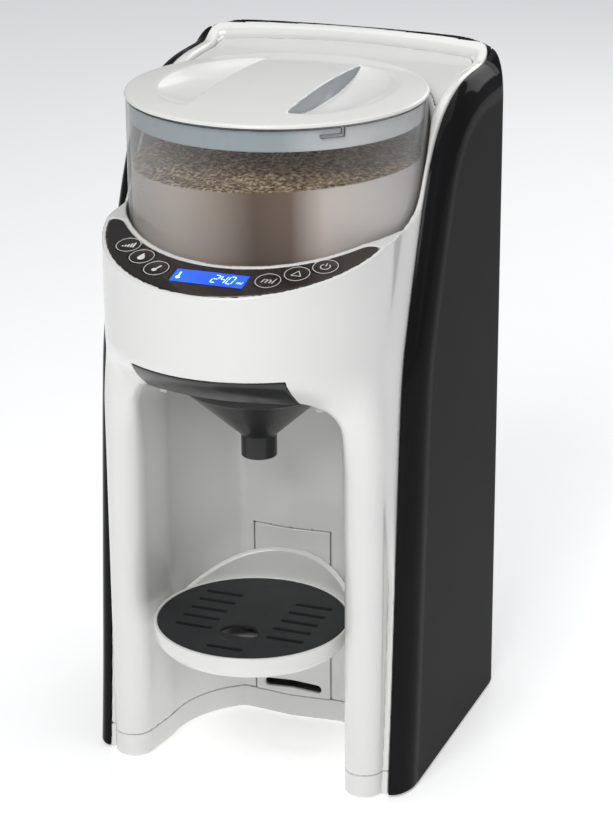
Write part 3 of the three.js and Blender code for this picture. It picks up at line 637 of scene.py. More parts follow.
def grown(name, field, low, high, step, keep, mirror=False):
    """A mesh of the solid where a field is negative, thinned to a share of its faces and laid back on it."""
    axes = [np.arange(low[i] - 1.5 * step, high[i] + 2.5 * step, step) for i in range(3)]
    if mirror:
        half = step * (np.arange(int(high[0] / step) + 3) + 0.5)
        right = sampled(field, [half, axes[1], axes[2]])
        values = np.concatenate([right[::-1], right])
        axes[0] = np.concatenate([-half[::-1], half])
    else:
        values = sampled(field, axes)
    points, faces = net(values, axes, step)
    points = settled(field, points, step)[0]
    mesh = bpy.data.meshes.new(name)
    mesh.from_pydata(points.tolist(), [], faces.tolist())
    mesh = thinned(mesh, name, keep)
    points, normals = settled(field, stored_points(mesh), step)
    return shaped(mesh, placed(points), normals)


def grow(name, field, low, high, step, keep, body_name, finish, node, mirror=True):
    """A piece grown from a field, as two mirrored halves if it is symmetric."""
    piece(name, grown(name, field, low, high, step, keep, mirror), body_name, finish, node)


def mirrored(mesh, name):
    """The same mesh on the other side of the middle plane."""
    flip = [-1, 1, 1]
    copy = mesh.copy()
    copy.name = name
    normals = np.array([n.vector[:] for n in mesh.corner_normals])
    owner = np.empty(len(mesh.loops), int)
    mesh.loops.foreach_get("vertex_index", owner)
    at_vertex = np.zeros((len(mesh.vertices), 3))
    at_vertex[owner] = normals * flip
    points = stored_points(copy) * flip
    copy.vertices.foreach_set("co", points.ravel())
    copy.flip_normals()
    copy.normals_split_custom_set_from_vertices(at_vertex.tolist())
    copy.update()
    return copy


# ---------------- fields of the body
def smooth(t):
    t = np.clip(t, 0, 1)
    return t * t * (3 - 2 * t)


def spline(points, count):
    """Points of a smooth curve through these points."""
    points = np.array([points[0], *points, points[-1]], float)
    result = []
    for t in np.linspace(0, len(points) - 3 - 1e-9, count):
        i = int(t)
        f = t - i
        a, b, c, d = points[i:i + 4]
        result.append(0.5 * (2 * b + (c - a) * f + (2 * a - 5 * b + 4 * c - d) * f ** 2
                             + (3 * b - a - 3 * c + d) * f ** 3))
    return np.array(result)


def panel_z(y):
    return PANEL_Z + TILT * y


SHOULDER_TOP, CREST, COVER_CREST = 390.6, 401.5, 397.0
SHOULDER = spline([(-23, 326.4), (-8, 335.8), (5, 355), (19, 371), (34, 381), (51, 387), (69, 389.8),
                   (97, SHOULDER_TOP)], 90)
BORDER = spline([(-58, 0), (-53.3, 50), (-49.3, 108), (-45.6, 160), (-41.6, 213), (-37, 250), (-28, 279),
                 (-16.8, 308), (-6, 334)], 60)
REAR_RISE = np.array([(y, SHOULDER_TOP + (CREST - SHOULDER_TOP) * smooth((y - 98) / 23))
                      for y in np.linspace(99, 121.8, 24)])
TOP_EDGE = np.vstack([[(-140, panel_z(-140)), (-50, panel_z(-50))], SHOULDER, REAR_RISE, [(150, CREST)]])
COVER_TOP = np.vstack([SHOULDER[SHOULDER[:, 1] > 350],
                       spline([(103, 391.4), (108, 393.6), (114, 396.2), (121, COVER_CREST)], 16),
                       [(150, COVER_CREST)]])
COVER_SIDE = np.vstack([[(-66, -60)], BORDER, COVER_TOP, [(150, -60)]])[::-1]


def polygon_distance(outline, u, v):
    """Distance to an outline, negative inside it."""
    near = None
    inside = None
    for (au, av), (bu, bv) in zip(outline, np.roll(outline, -1, 0)):
        du, dv = bu - au, bv - av
        t = np.clip(((u - au) * du + (v - av) * dv) / (du * du + dv * dv), 0, 1)
        gap = (u - au - t * du) ** 2 + (v - av - t * dv) ** 2
        near = gap if near is None else np.minimum(near, gap)
        if av != bv:
            passes = ((av > v) != (bv > v)) & (u < au + (v - av) * du / dv)
            inside = passes if inside is None else inside ^ passes
    return np.where(inside, -1, 1) * np.sqrt(near)


def top(y, z):
    """Distance above the body's top edge."""
    height, ahead, behind = (np.interp(y + shift, TOP_EDGE[:, 0], TOP_EDGE[:, 1]) for shift in (0, 1, -1))
    return (z - height) / np.sqrt(1 + ((ahead - behind) / 2) ** 2)


def above_panel(y, z):
    return (z - panel_z(y)) / math.sqrt(1 + TILT ** 2)


def bulge(x, y):
    """Distance outside the rounded plan of the upper front."""
    angle = np.arctan2(np.abs(x), np.maximum(BULGE_Y - y, 1e-6))
    return np.hypot(x, np.minimum(y - BULGE_Y, 0)) - BULGE_R - BULGE_GROW * np.sin(angle) ** 4


def rear(x, y, inset):
    """Distance outside the curved plan of the rear."""
    corner_x, corner_y, a, bow = 73, 99, 25.5 - inset, 3.8
    b = REAR_REACH - corner_y - bow * np.minimum(np.abs(x) / corner_x, 1) ** 2 - inset
    return np.hypot(np.maximum(np.abs(x) - corner_x, 0) * b / a, np.maximum(y - corner_y, 0)) - b


def front(x, y, z):
    """Distance outside the front: the bulge above, receding to the two legs below."""
    depth = CHIN_TOP - CHIN_BOTTOM
    t = np.clip((CHIN_TOP - z) / depth, 0, 1)
    w = (1 - np.cos(np.pi * t)) / 2
    above, below = bulge(x, y), rounded(LEG_Y - y, np.abs(x) - LEG_HALF, NOSE_R)
    slope = np.pi / (2 * depth) * np.sin(np.pi * t) * (below - above)
    return ((1 - w) * above + w * below) / np.sqrt(1 + slope ** 2)


FLANK_LOW, FLANK_RISE = 120, 100                 # over this height the flank melts into the front
FLANK_LEAD, FLANK_ROUND, FLANK_BLEND = 16.5, 20, 8


def body(x, y, z):
    """Distance outside the white body: its front, and behind it the flank that the covers clasp."""
    upper = smooth((z - FLANK_LOW) / FLANK_RISE)
    step = np.interp(z, BORDER[:, 1], BORDER[:, 0]) + 0.5 - FLANK_LEAD * upper
    wide = rounded(np.abs(x) - BODY_HALF, step - y, 0.6 + FLANK_ROUND * upper)
    ahead = front(x, y, z)
    reach = 0.3 + FLANK_BLEND * upper
    blend = 0.25 * np.maximum(reach - np.abs(ahead - wide), 0) ** 2 / reach
    solid = both(either(ahead, wide) - blend, np.abs(x) - BODY_HALF)
    return rounded(solid, rear(x, y, REAR_SKIN), REAR_CORNER)


def niche(x, y, z):
    """Distance outside the bottle niche."""
    flare = NICHE_FLARE * (1 - smooth((y + 60) / 30))
    round_wall = np.hypot(x, np.maximum(y - NICHE_Y, 0)) - NICHE_R - flare
    plan = rounded(round_wall, y - NICHE_BACK - 0.0935 * np.abs(x), 1.5)
    return rounded(plan, z - NICHE_TOP, NICHE_CORNER)


def niche_fillet(z):
    return NOSE_R - 7.5 * smooth((z - 190) / (NICHE_TOP - 190))


def with_niche(solid, x, y, z):
    return rounded(solid, -niche(x, y, z), niche_fillet(z))


def well(x, y, inset):
    """Distance outside the tank's well, which wraps round the back of the powder bay."""
    side = rounded(np.abs(x) - BODY_HALF + RIM + inset, rear(x, y, REAR_SKIN + RIM + inset), REAR_CORNER)
    behind = both(WELL_R + inset - np.hypot(x, y), -y)
    return rounded(side, behind, 2.0)


def crescent(x, y, inset):
    """Distance outside the control panel's plan."""
    plan = rounded(bulge(x, y) + 2.6 + inset, BAY_WALL_R + 1.2 + inset - np.hypot(x, y), 1.8)
    return rounded(plan, y - HORN_Y + inset, 3.0)


def block(x, y, z, low, high):
    """Distance outside a box."""
    reach = [both(lo - c, c - hi) for c, lo, hi in zip((x, y, z), low, high)]
    return both(*reach)


DECK_DROP, TANK_LID_DROP, CAVITY_DROP = 3.0, 5.7, 8.2     # below the body's top edge
DECK_FRONT, WELL_LOW, CHUTE_R = 20, 200, 36
REAR_GATE = (-64, 100, 5), (64, 140, 372)        # the rear cover closes this opening
NICHE_GATE = (-24, 12, 0), (24, 26, 124)         # the niche's back panel closes this one


def edge_radius(y):
    """How rounded the body's top edge is: soft beside the drum and crisp at the rear."""
    return 0.9 + 1.5 * smooth((y + 50) / 40) - 1.4 * smooth((y - 90) / 20)


def housing_field(x, y, z):
    radius = np.hypot(x, y)
    outer = body(x, y, z)
    crown = top(y, z)
    solid = with_niche(rounded(outer, crown, edge_radius(y)), x, y, z)
    cavity = both(solid + WALL, crown + CAVITY_DROP)
    bay = both(radius - BAY_R, BAY_FLOOR - z)
    solid = rounded(solid, -bay, 0.9)
    deck = both(outer + RIM, DECK_FRONT - y, -crown - DECK_DROP)
    solid = rounded(solid, -deck, 2.6)
    pocket = both(well(x, y, 0), -crown - TANK_LID_DROP)
    opening = both(well(x, y, 2.5), WELL_LOW - z)
    solid = both(solid, -either(pocket, opening))
    bed = both(crescent(x, y, -GAP), -above_panel(y, z) - PANEL_DEPTH - GAP)
    solid = rounded(solid, -bed, 0.5)
    flap = block(x, y, z, (-FLAP_HALF - 0.2, -140, NICHE_TOP - 5), (FLAP_HALF + 0.2, -70, FLAP_HIGH + GAP))
    solid = rounded(solid, -flap, 0.6)
    chute = both(np.hypot(x, y - FUNNEL_Y) - CHUTE_R, np.abs(z - NICHE_TOP - 2) - 4)
    solid = both(solid, -chute)
    for gate in (REAR_GATE, NICHE_GATE):
        solid = both(solid, -block(x, y, z, *gate))
    bay_wall = both(radius - BAY_WALL_R, BAY_FLOOR - 3 - z)
    solid = both(solid, -both(cavity, -bay_wall))
    return rounded(solid, BASE_TOP - z, 0.5)


def base_field(x, y, z):
    outer = with_niche(body(x, y, z), x, y, z)
    solid = rounded(rounded(outer, z - BASE_TOP + GAP, 0.5), 1.2 - z, 1.0)
    solid = both(solid, -both(outer + WALL, 3.8 - z))
    for foot_x, foot_y in RIGHT_FEET:
        solid = both(solid, -both(np.hypot(np.abs(x) - foot_x, y - foot_y) - 9.3, z - 2.5))
    return solid


def cover_solid(x, y, z, inset):
    """The black covers as a solid: a side outline whose border rolls over to the side face."""
    reach = COVER_HALF - COVER_INNER - inset
    depth = -polygon_distance(COVER_SIDE, y, z) - inset
    across = np.maximum((np.abs(x) - COVER_INNER) / reach, 0)
    rolled = (np.hypot(np.maximum(1 - depth / COVER_ROLL, 0), across) - 1) * reach
    return rounded(rolled, rear(x, y, inset), 1.0)


def side_cover_field(x, y, z):
    shell = both(cover_solid(x, y, z, 0), -cover_solid(x, y, z, COVER_WALL))
    return rounded(both(shell, COVER_INNER - x), 1 - z, 0.6)


INLET_X, INLET_Z, INLET_W, INLET_H = -46, 42, 26, 20
VENT_HALF, VENT_R = 22, 2.5


def rear_cover_field(x, y, z):
    shell = both(rear(x, y, 0), -(body(x, y, z) - GAP))
    shell = both(shell, 60 - y, np.abs(x) - BODY_HALF)
    shell = rounded(shell, top(y, z) + 0.4 + 2.2 * smooth((np.abs(x) - 68) / 18), 0.8)
    inlet = block(x, y, z, (INLET_X - INLET_W / 2, 100, INLET_Z - INLET_H / 2),
                  (INLET_X + INLET_W / 2, 140, INLET_Z + INLET_H / 2))
    shell = rounded(shell, -inlet, 0.6)
    for height in range(250, 311, 12):
        vent = np.hypot(np.maximum(np.abs(x) - VENT_HALF, 0), z - height) - VENT_R
        shell = rounded(shell, -vent, 0.6)
    for screw_x, screw_z in RIGHT_REAR_SCREWS:
        shell = both(shell, 3.8 - np.hypot(np.abs(x) - screw_x, z - screw_z))
    return rounded(shell, 1 - z, 0.6)


# ---------------- casing
def polish(mesh):
    """Marks how polished each point of a side cover is, from its depth behind the border."""
    points = points_of(mesh)
    depth = -polygon_distance(COVER_SIDE, points[:, 1], points[:, 2])
    mark(mesh, "polish", 1 - smooth((depth - 13) / 9))


def make_casing():
    grow("housing_shell", housing_field, (0, -119, 14), (87, 120, 402), 1.15, 0.2, "housing", "white",
         "front_housing")
    grow("base_pan", base_field, (0, -119, 1), (87, 120, 16), 1.1, 0.3, "housing", "white", "base")
    right = grown("right_cover", side_cover_field, (86, -60, 1), (99, 123, 398), 0.9, 0.2)
    back = grown("back_cover", rear_cover_field, (-87, 96, 1), (87, 122.5, 403), 1.0, 0.2)
    for mesh, node in ((right, "right_side_cover"), (mirrored(right, "left_cover"), "left_side_cover"),
                       (back, "rear_cover")):
        polish(mesh)
        piece(mesh.name, mesh, "housing", "cover", node)


# ---------------- powder drum and lid
LID_R, LID_RIM, LID_CROWN = 83.7, 392.0, 5.1
SCOOP_WALL, SCOOP_RX, SCOOP_RY, SCOOP_RZ, SCOOP_Z = 28, 37, 57, 10, 395.6
LID_WALL, SKIRT_IN, SKIRT_OUT, SKIRT_LOW = 2.2, 76.2, 78.2, 379
SEAL_IN, SEAL_OUT, SEAL_LOW = 78.5, 80.7, 377
RIM_DROP = 0.9                                   # the drum's rim and the seal end below the lid's edge
POWDER_R, POWDER_LOW, POWDER_EDGE = 80.6, 309.0, 353.0


def lid_field(x, y, z):
    radius = np.hypot(x, y)
    dome = z - LID_RIM - LID_CROWN * (1 - (radius / LID_R) ** 2)
    solid = rounded(dome, radius - LID_R, 1.3)
    solid = rounded(solid, LID_RIM - 2 - z, 0.6)

    def scoop(grow):
        across = np.abs(x) - SCOOP_WALL
        bowl = np.sqrt((across / (SCOOP_RX + grow)) ** 2 + (y / (SCOOP_RY + grow)) ** 2
                       + ((z - SCOOP_Z) / (SCOOP_RZ + grow)) ** 2) - 1
        return rounded(bowl * (SCOOP_RZ + grow), -across - grow, 0.8)

    below = both(radius - LID_R, z - 393, -z + 380)
    solid = either(solid, both(scoop(LID_WALL), below))
    skirt = both(radius - SKIRT_OUT, SKIRT_IN - radius, SKIRT_LOW - z, z - LID_RIM)
    hollow = both(radius - SKIRT_IN, dome + LID_WALL, -scoop(LID_WALL))
    solid = either(both(solid, -hollow), skirt)
    return rounded(solid, -scoop(0), 0.9)


def shade_lid(mesh):
    """Marks the two upright walls of the lid's handle, where grey-blue shade is painted."""
    x, _, z = points_of(mesh).T
    steep = np.array([abs(n.vector[0]) for n in mesh.vertex_normals])
    beside = smooth((1.6 - np.abs(np.abs(x) - SCOOP_WALL - 0.3)) / 0.8)
    above = smooth((z - SCOOP_Z + SCOOP_RZ - 0.4) / 0.6)
    mark(mesh, "handle", beside * above * smooth((steep - 0.5) / 0.3))


def bayonet_slots():
    """Cutters for the two L-shaped slots in the drum's rim."""
    entry, half_entry, end, low, width = 46.5, 0.6, 37.6, 383.9, 1.8
    upright = (entry - half_entry, entry + half_entry, low, 395)
    level = (end, entry + half_entry, low, low + width)
    parts = []
    for turn in (0, 180):
        for start, stop, z0, z1 in (upright, level):
            outline = []
            for r, angles in ((86, (start, stop)), (78, (stop, start))):
                for a in np.radians(np.linspace(*angles, 7) + turn):
                    outline.append((r * math.sin(a), -r * math.cos(a)))
            parts.append(slab(outline, z0, z1, 0.1, 1))
    return parts


def carve(mesh, cutters):
    """The mesh with cutters taken away, one after another."""
    name = mesh.name
    for points, faces in cutters:
        solid = bpy.data.objects.new("carved", mesh)
        tool = bpy.data.objects.new("tool", mesh_from("tool", points, faces))
        for thing in (solid, tool):
            bpy.context.scene.collection.objects.link(thing)
        cutting = solid.modifiers.new("cut", "BOOLEAN")
        cutting.operation = "DIFFERENCE"
        cutting.solver = "EXACT"
        cutting.object = tool
        mesh = applied(solid, name)
        bpy.data.objects.remove(tool)
    mesh.set_sharp_from_angle(angle=math.radians(40))
    return mesh


def make_drum():
    inner, low = DRUM_R - 2, DRUM_FLOOR
    high = DRUM_TOP - RIM_DROP
    profile = [(inner, low), (DRUM_R, low), (DRUM_R, high), (inner, high)]
    wall = carve(turned("drum_wall", profile, 0.4, 192), bayonet_slots())
    # marks the wall's cut faces, which the drum's material colours with painted shade
    centres = np.array([face.center[:] for face in wall.polygons]) / MM
    radii = np.hypot(centres[:, 0], centres[:, 1] - AXIS_Y / MM)
    mark(wall, "edge", (radii > inner + 0.3) & (radii < DRUM_R - 0.3), "FACE")
    piece("drum_wall", wall, "drum", "drum", "powder_drum")
    profile = [(SEAL_IN, SEAL_LOW), (SEAL_OUT, SEAL_LOW), (SEAL_OUT, high), (SEAL_IN, high)]
    piece("seal_ring", turned("seal_ring", profile, 0.6, 192), "lid_ring", "seal", "lid_seal")
    lid = grown("lid", lid_field, (-84, -84, 378), (84, 84, 398), 0.75, 0.16)
    shade_lid(lid)
    piece("lid", lid, "lid", "lid", "lid_cap")


def powder_height(x, y):
    """Height of the powder's crumbled top."""
    radius = math.hypot(x, y)
    swell = 4.0 * (1 - (radius / POWDER_R) ** 2) + 3.0 * x / POWDER_R
    lumps = 2.2 * noise.fractal(Vector((x, y, 3.0)) * 0.055, 1.0, 2.0, 3)
    crumbs = 1.4 * abs(noise.fractal(Vector((x, y, 9.0)) * 0.22, 0.9, 2.1, 4))
    inside = min((POWDER_R - radius) / 7, 1)
    return POWDER_EDGE + 1.5 + 3.0 * x / POWDER_R * (1 - inside) + inside * (swell + lumps + crumbs)


def make_powder():
    segments, rings = 300, 96
    turn = [(math.cos(a), math.sin(a)) for a in np.linspace(0, 2 * math.pi, segments, endpoint=False)]
    wall = [(POWDER_R * c, POWDER_R * s) for c, s in turn]
    points = [(x, y, POWDER_LOW) for x, y in wall] + [(x, y, powder_height(x, y) - 0.6) for x, y in wall]
    radii = [POWDER_R - 0.5] + [POWDER_R * (1 - k / rings) for k in range(1, rings)]
    points += [(r * c, r * s, powder_height(r * c, r * s)) for r in radii for c, s in turn]
    faces = between(len(radii) + 2, segments)
    inner, middle = len(points) - segments, len(points)
    points.append((0, 0, powder_height(0, 0)))
    faces += [(inner + i, inner + (i + 1) % segments, middle) for i in range(segments)]
    faces.append(tuple(range(segments - 1, -1, -1)))
    mesh = mesh_from("powder_fill", points, faces, 70)
    mark(mesh, "wall", [1.0 if i < 2 * segments else 0.0 for i in range(len(points))])
    piece("powder_fill", mesh, "drum", "powder", "formula_powder")


# ---------------- control panel
KEY_R = 7.2
LCD_HALF, LCD_FRONT, LCD_BACK = 21, -104.5, -91.8


def panel_field(x, y, z):
    height = above_panel(y, z)
    solid = rounded(crescent(x, y, 0), height, 0.5)
    solid = both(solid, -height - PANEL_DEPTH)
    for key_x, key_y in RIGHT_KEYS:
        solid = rounded(solid, KEY_R + 0.35 - np.hypot(np.abs(x) - key_x, y - key_y), 0.3)
    window = both(np.abs(x) - LCD_HALF, LCD_FRONT - y, y - LCD_BACK)
    return rounded(solid, -window, 0.3)


def on_panel(points, x, y):
    """Lifts points drawn flat, (right, up, out), onto the sloping panel about a spot."""
    return [(x + u, y + v, panel_z(y + v) + w) for u, v, w in points]


def inlay(outlines, x, y, low, high):
    """Flat shapes let into the panel's face about a spot."""
    points, faces = joined(slab(outline, low, high, 0.03, 1) for outline in outlines)
    return on_panel(points, x, y), faces


def stroke(points, width):
    """Outline of a line of an even width through points."""
    points = np.asarray(points, float)
    along = np.gradient(points, axis=0)
    normal = np.column_stack([-along[:, 1], along[:, 0]]) / np.linalg.norm(along, axis=1, keepdims=True)
    right, left = points - normal * width / 2, points + normal * width / 2
    return [*right.tolist(), *left[::-1].tolist()]


def hoop(r, width):
    """A thin ring as two half strokes."""
    return [stroke(arc(0, 0, r, start, start + 180, 24), width) for start in (0, 180)]


def key_symbols():
    """The symbol on each key, as outlines drawn flat."""
    bars = [[(x, -2.2), (x + 1.0, -2.2), (x + 1.0, high), (x, high)]
            for x, high in zip((-3.2, -1.7, -0.2, 1.3, 2.8), (-1.2, -0.3, 0.7, 1.7, 2.7))]
    drop = arc(0, -1.2, 2.1, 155, 385, 16) + [(0, 3.6)]
    thermometer = [stroke([(0.1, -0.5), (1.0, 1.2), (1.9, 3.0)], 1.2), arc(-0.6, -1.6, 1.5, 0, 345, 20)]
    triangle = [stroke(line, 0.5) for line in (((-2.7, -2.1), (0, -2.1), (2.7, -2.1)),
                                               ((2.8, -2.2), (1.4, 0.3), (0, 2.8)),
                                               ((0, 2.8), (-1.4, 0.3), (-2.8, -2.2)))]
    power = [stroke(arc(0, -0.2, 2.6, 125, 415, 24), 0.55), stroke([(0, 0.2), (0, 1.8), (0, 3.2)], 0.55)]
    return {"signal": bars, "water": [drop], "temperature": thermometer, "start": triangle, "power": power}


def welded(mesh):
    """The mesh with points that coincide made one."""
    form = bmesh.new()
    form.from_mesh(mesh)
    bmesh.ops.remove_doubles(form, verts=form.verts, dist=1e-6)
    form.to_mesh(mesh)
    form.free()
    return mesh


def letters(name, text, size, spot, depth, body_name, finish):
    """A short unit or number written on the panel."""
    curve = bpy.data.curves.new(name, "FONT")
    curve.body = text
    curve.size = size
    curve.extrude = depth
    curve.align_x = "CENTER"
    curve.align_y = "CENTER"
    curve.shear = 0.2
    flat = bpy.data.objects.new(name + "_flat", curve)
    bpy.context.scene.collection.objects.link(flat)
    mesh = applied(flat, name + "_drawn")
    points = [tuple(v.co) for v in mesh.vertices]
    faces = [tuple(p.vertices) for p in mesh.polygons]
    x, y, out = spot
    lifted = on_panel([(u, v, w + out) for u, v, w in points], x, y)
    piece(name, welded(mesh_from(name, lifted, faces)), body_name, finish)


def make_keys():
    symbols = key_symbols()
    circle = arc(0, 0, KEY_R, 0, 360 - 360 / 72, 72)
    stem = arc(0, 0, 2, 0, 345, 24)
    for name, (x, y) in zip(KEYS, KEY_SPOTS):
        points, faces = joined([slab(circle, -1.3, 0, 0.25), slab(stem, -7, -1.2, 0.1)])
        drawn(name + "_cap", (on_panel(points, x, y), faces), name + "_key", "panel", name + "_key")
        shapes = hoop(6.75, 0.42) + symbols.get(name, [])
        drawn(name + "_mark", inlay(shapes, x, y, -0.2, 0.02), name + "_key", "mark")
    x, y = KEY_SPOTS[3]
    letters("volume_unit", "ml", 7.6, (x, y, -0.08), 0.1, "volume_key", "mark")


SEGMENTS = {"2": "abged", "4": "fgbc", "0": "abcdef"}


def digit(number, x, width, height):
    """Seven-segment strokes of one slanted digit whose lower left corner is at x."""
    half = height / 2
    ends = {"a": ((0, height), (width, height)), "g": ((0, half), (width, half)), "d": ((0, 0), (width, 0)),
            "f": ((0, half), (0, height)), "b": ((width, half), (width, height)),
            "e": ((0, 0), (0, half)), "c": ((width, 0), (width, half))}
    strokes = []
    for name in SEGMENTS[number]:
        start, end = np.array(ends[name], float)
        trim = (end - start) / np.linalg.norm(end - start) * 0.35
        line = [start + trim, (start + end) / 2, end - trim]
        strokes.append(stroke([(x + u + 0.16 * v, v) for u, v in line], 0.55))
    return strokes


def make_display():
    middle = (LCD_FRONT + LCD_BACK) / 2
    half_depth = (LCD_BACK - LCD_FRONT) / 2 - GAP
    half = LCD_HALF - GAP
    window = [(-half, -half_depth), (half, -half_depth), (half, half_depth), (-half, half_depth)]
    points, faces = slab(window, -PANEL_DEPTH, -0.35, 0.15)
    drawn("display_glass", (on_panel(points, 0, middle), faces), "housing", "blue", "display_module")
    shapes = []
    for i, number in enumerate("240"):
        shapes += digit(number, 1.5 + 4.4 * i, 3.0, 7.0)
    shapes = [[(u, v - 3.5) for u, v in shape] for shape in shapes]
    shapes.append([(u - 17.2, v) for u, v in arc(0, -2.2, 1.3, 0, 340, 14)])
    shapes.append(stroke([(-17.2, -1.5), (-17.2, 0.5), (-17.2, 3.0)], 1.0))
    drawn("display_digits", inlay(shapes, 0, middle, -0.42, -0.28), "housing", "digit")
    letters("display_unit", "ml", 3.6, (17.6, middle - 1.6, -0.33), 0.05, "housing", "digit")


def make_panel():
    grow("panel_crescent", panel_field, (0, -117, 306), (81, -48, 328), 0.6, 0.3, "housing", "panel",
         "control_panel")


# ---------------- funnel and its cover
def make_funnel():
    spout_r, spout_z, cone_z, rim_r, rim_z, wall = 10.2, 188.5, 201.5, 42.6, 231.0, 1.6
    lip_r, lip_z = rim_r + 1.4, 236.3
    profile = [(spout_r - wall, spout_z), (spout_r, spout_z), (spout_r, cone_z), (rim_r, rim_z),
               (lip_r, rim_z + 0.8), (lip_r, lip_z), (rim_r - 0.2, lip_z), (rim_r - 0.2, rim_z + 2),
               (rim_r - 1.2, rim_z + 1.2), (spout_r - wall, cone_z + 0.9)]
    cone = turned("funnel_cone", profile, 0.6, 160, FUNNEL_Y)
    piece("funnel_cone", cone, "funnel", "smoke", "funnel")
    left = [(-46.5, -50), (-41, -50), (-41, -21), (-46.5, -21)]
    right = [(-x, y) for x, y in left][::-1]
    runners = joined(slab(runner, 232.6, 234.6, 0.3) for runner in (left, right))
    drawn("funnel_runners", runners, "funnel", "smoke")


def flap_field(x, y, z):
    outer = body(x, y, z)
    shell = rounded(outer, -outer - WALL, 0.4)
    shell = rounded(shell, np.abs(x) - FLAP_HALF, 0.5)
    shell = rounded(shell, z - FLAP_HIGH, 0.6)
    return both(rounded(shell, FLAP_LOW - z, 0.5), y + 70)


def make_flap():
    grow("funnel_flap", flap_field, (0, -118, 241), (44.5, -70, 262), 0.6, 0.3, "cover", "smoke",
         "funnel_cover")


# ---------------- bottle stand and niche back
TRAY_R, GRILLE_R, TRAY_TOP, TRAY_LOW = 56.4, 54.2, 93.4, 79.0
SLOT_R, FINGER_X, FINGER_Y = 1.75, 0.5, -68
STAND_R, STAND_LOW = 59.4, 75
BACK_HALF, BACK_TOP, BACK_WALL = 23.7, 123.7, 2.5
STAND_REACH = math.radians(64)                   # how far round the tray the stand's back reaches


def grille_field(x, y, z):
    high = TRAY_TOP - 0.2
    solid = rounded(np.hypot(x, y - TRAY_Y) - GRILLE_R, np.abs(z - high + 1.15) - 1.15, 0.4)

    def slotted(x0, x1, row):
        along = np.maximum(np.abs(x - (x0 + x1) / 2) - (x1 - x0) / 2 + SLOT_R, 0)
        return np.hypot(along, y - row) - SLOT_R

    slots = slotted(-10, 11.5, -88)
    for row in (-66.5, -55, -43.5, -32, -20.5):
        slots = either(slots, slotted(-38.5, -16, row), slotted(17, 39.5, row))
    finger_radius = np.hypot(x - FINGER_X, y - FINGER_Y)
    finger = rounded(finger_radius - 11.5, FINGER_Y - y, 1.5)
    ramp = np.hypot(finger_radius / 11, (z - high) / 1.6) - 1
    return rounded(rounded(rounded(solid, -slots, 0.35), -finger, 0.4), -ramp * 1.6, 0.3)


def make_tray():
    profile = [(0, TRAY_LOW), (46.5, TRAY_LOW), (53.0, TRAY_LOW + 1.6), (55.7, TRAY_LOW + 5.2),
               (TRAY_R, TRAY_LOW + 10.5), (TRAY_R, TRAY_TOP), (GRILLE_R + GAP, TRAY_TOP),
               (GRILLE_R + GAP, TRAY_TOP - 2.8), (51.5, TRAY_TOP - 2.8), (50.5, TRAY_LOW + 6.5),
               (44, TRAY_LOW + 2.4), (0, TRAY_LOW + 2.4)]
    tray = turned("tray_bowl", profile, 0.9, 160, TRAY_Y, closed=False)
    piece("tray_bowl", tray, "stand", "white", "drip_tray")
    grow("grille_plate", grille_field, (-55, -100, 90), (55, 10, 93.6), 0.7, 0.25, "grille", "matte",
         "drip_grille", mirror=False)


def stand_field(x, y, z):
    radius = np.hypot(x, y - TRAY_Y)
    sector = math.cos(STAND_REACH) * np.abs(x) - math.sin(STAND_REACH) * (y - TRAY_Y)
    slope = z - np.interp(y, [-60, -19, -6, 13.5], [84, 92, 99, 112])
    back = both(radius - STAND_R, TRAY_R + GAP - radius, sector)
    back = rounded(both(back, STAND_LOW - z), slope, 0.8)
    shelf = block(x, y, z, (-26, -40, STAND_LOW), (26, 13, TRAY_LOW - GAP))
    tongue = block(x, y, z + 0.133 * np.abs(x), (-15, 12, 83.9), (15, 22, 87.3))
    return either(back, shelf, tongue)


def panel_slot(x, z, height):
    """Distance outside one of the chevron slots in the niche back."""
    return rounded(np.abs(z + 0.11 * np.abs(x) - height - 1.5) - 2.5, np.abs(x) - 18, 2.4)


def back_panel_field(x, y, z):
    face = NICHE_BACK + 2.2 * np.abs(x) / BACK_HALF
    solid = rounded(np.abs(x) - BACK_HALF, both(face - y, y - face - BACK_WALL), 0.4)
    solid = rounded(solid, both(BASE_TOP - z, z - BACK_TOP), 0.4)
    for height in (21, 52, 84):
        solid = rounded(solid, -panel_slot(x, z, height), 0.5)
    return solid


def make_stand():
    grow("stand_back", stand_field, (0, -42, 74), (54, 23, 113), 0.7, 0.3, "stand", "white", "stand_bracket")
    grow("niche_back", back_panel_field, (0, 14, 15), (24.5, 20.5, 124.5), 0.6, 0.25, "housing", "white",
         "niche_back_panel")


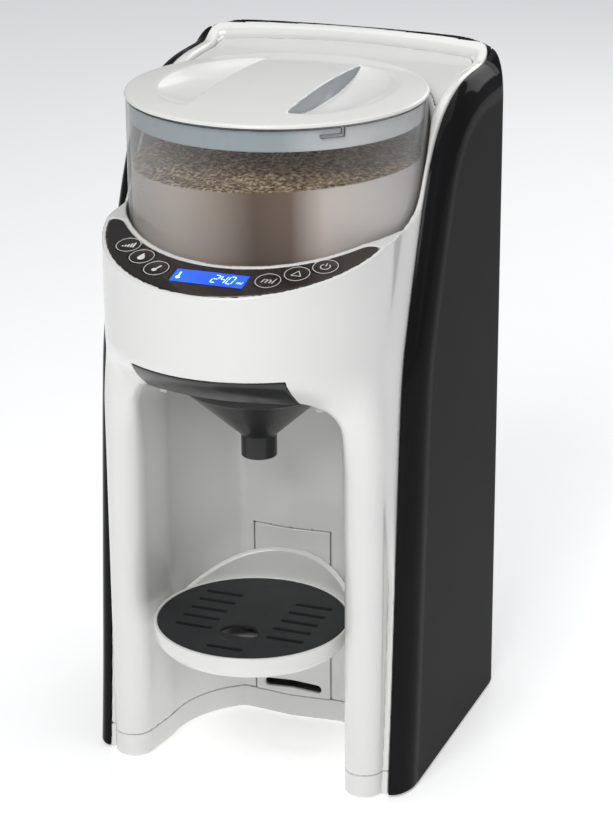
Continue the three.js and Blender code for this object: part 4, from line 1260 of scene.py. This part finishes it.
# ---------------- water tank
TANK_LOW, TANK_HIGH, TANK_WALL, VALVE_X, VALVE_Y = 60.3, 376.0, 2.2, 58, 88


def tank_field(x, y, z):
    outer = rounded(rounded(well(x, y, 3), z - TANK_HIGH, 0.8), TANK_LOW - z, 2.0)
    inner = both(well(x, y, 3 + TANK_WALL), TANK_LOW + TANK_WALL - z)
    solid = rounded(outer, -inner, 0.6)
    return both(solid, -both(np.hypot(x - VALVE_X, y - VALVE_Y) - 6.2, z - 80))


def tank_lid_field(x, y, z):
    crown = top(y, z)
    plate = rounded(well(x, y, GAP), crown + 3, 0.8)
    plate = rounded(plate, -crown - 5.4, 0.4)
    plug = both(well(x, y, 6.2), -well(x, y, 8.2), TANK_HIGH - 8 - z, crown + 4)
    return either(plate, both(plug, 58 - y))


def make_tank():
    grow("tank_shell", tank_field, (-78, 36, 60), (78, 111, 377), 1.1, 0.1, "tank", "tank", "water_tank",
         mirror=False)
    grow("tank_plate", tank_lid_field, (0, 36, 366), (80, 114, 399), 0.8, 0.25, "tank_lid", "satin",
         "tank_lid")


# ---------------- pieces kept from the CAD model
def numbered(name):
    """The names of the pieces that sit one in each corner."""
    return [f"{name}_{i + 1}" for i in range(CORNERS)]


CAD_FINISH = {
    "grey": ["drum_base", "powder_wheel", "stirrer", "bay_seat", "powder_chute", "motor_bracket", "tank_seat",
             "tank_valve", "water_pump"],
    "rubber": ["scraper", "outlet_gasket", *numbered("foot")],
    "steel": ["drive_coupling", "gear_motor", "heater", *numbered("base_screw"), *numbered("rear_screw")],
    "board": ["control_board", "main_board"],
    "satin": ["right_funnel_rail", "left_funnel_rail"],
    "tube": ["inlet_tube", "pump_tube", "hot_water_tube", "mixing_nozzle"],
    "matte": ["power_inlet"],
}


def finish_cad():
    for finish, names in CAD_FINISH.items():
        for name in names:
            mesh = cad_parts[name].data
            mesh.materials.clear()
            mesh.materials.append(FINISHES[finish][0])


for make in (make_camera, make_studio, make_floor, make_casing, make_drum, make_powder, make_panel, make_keys,
             make_display, make_funnel, make_flap, make_tray, make_stand, make_tank, finish_cad):
    make()
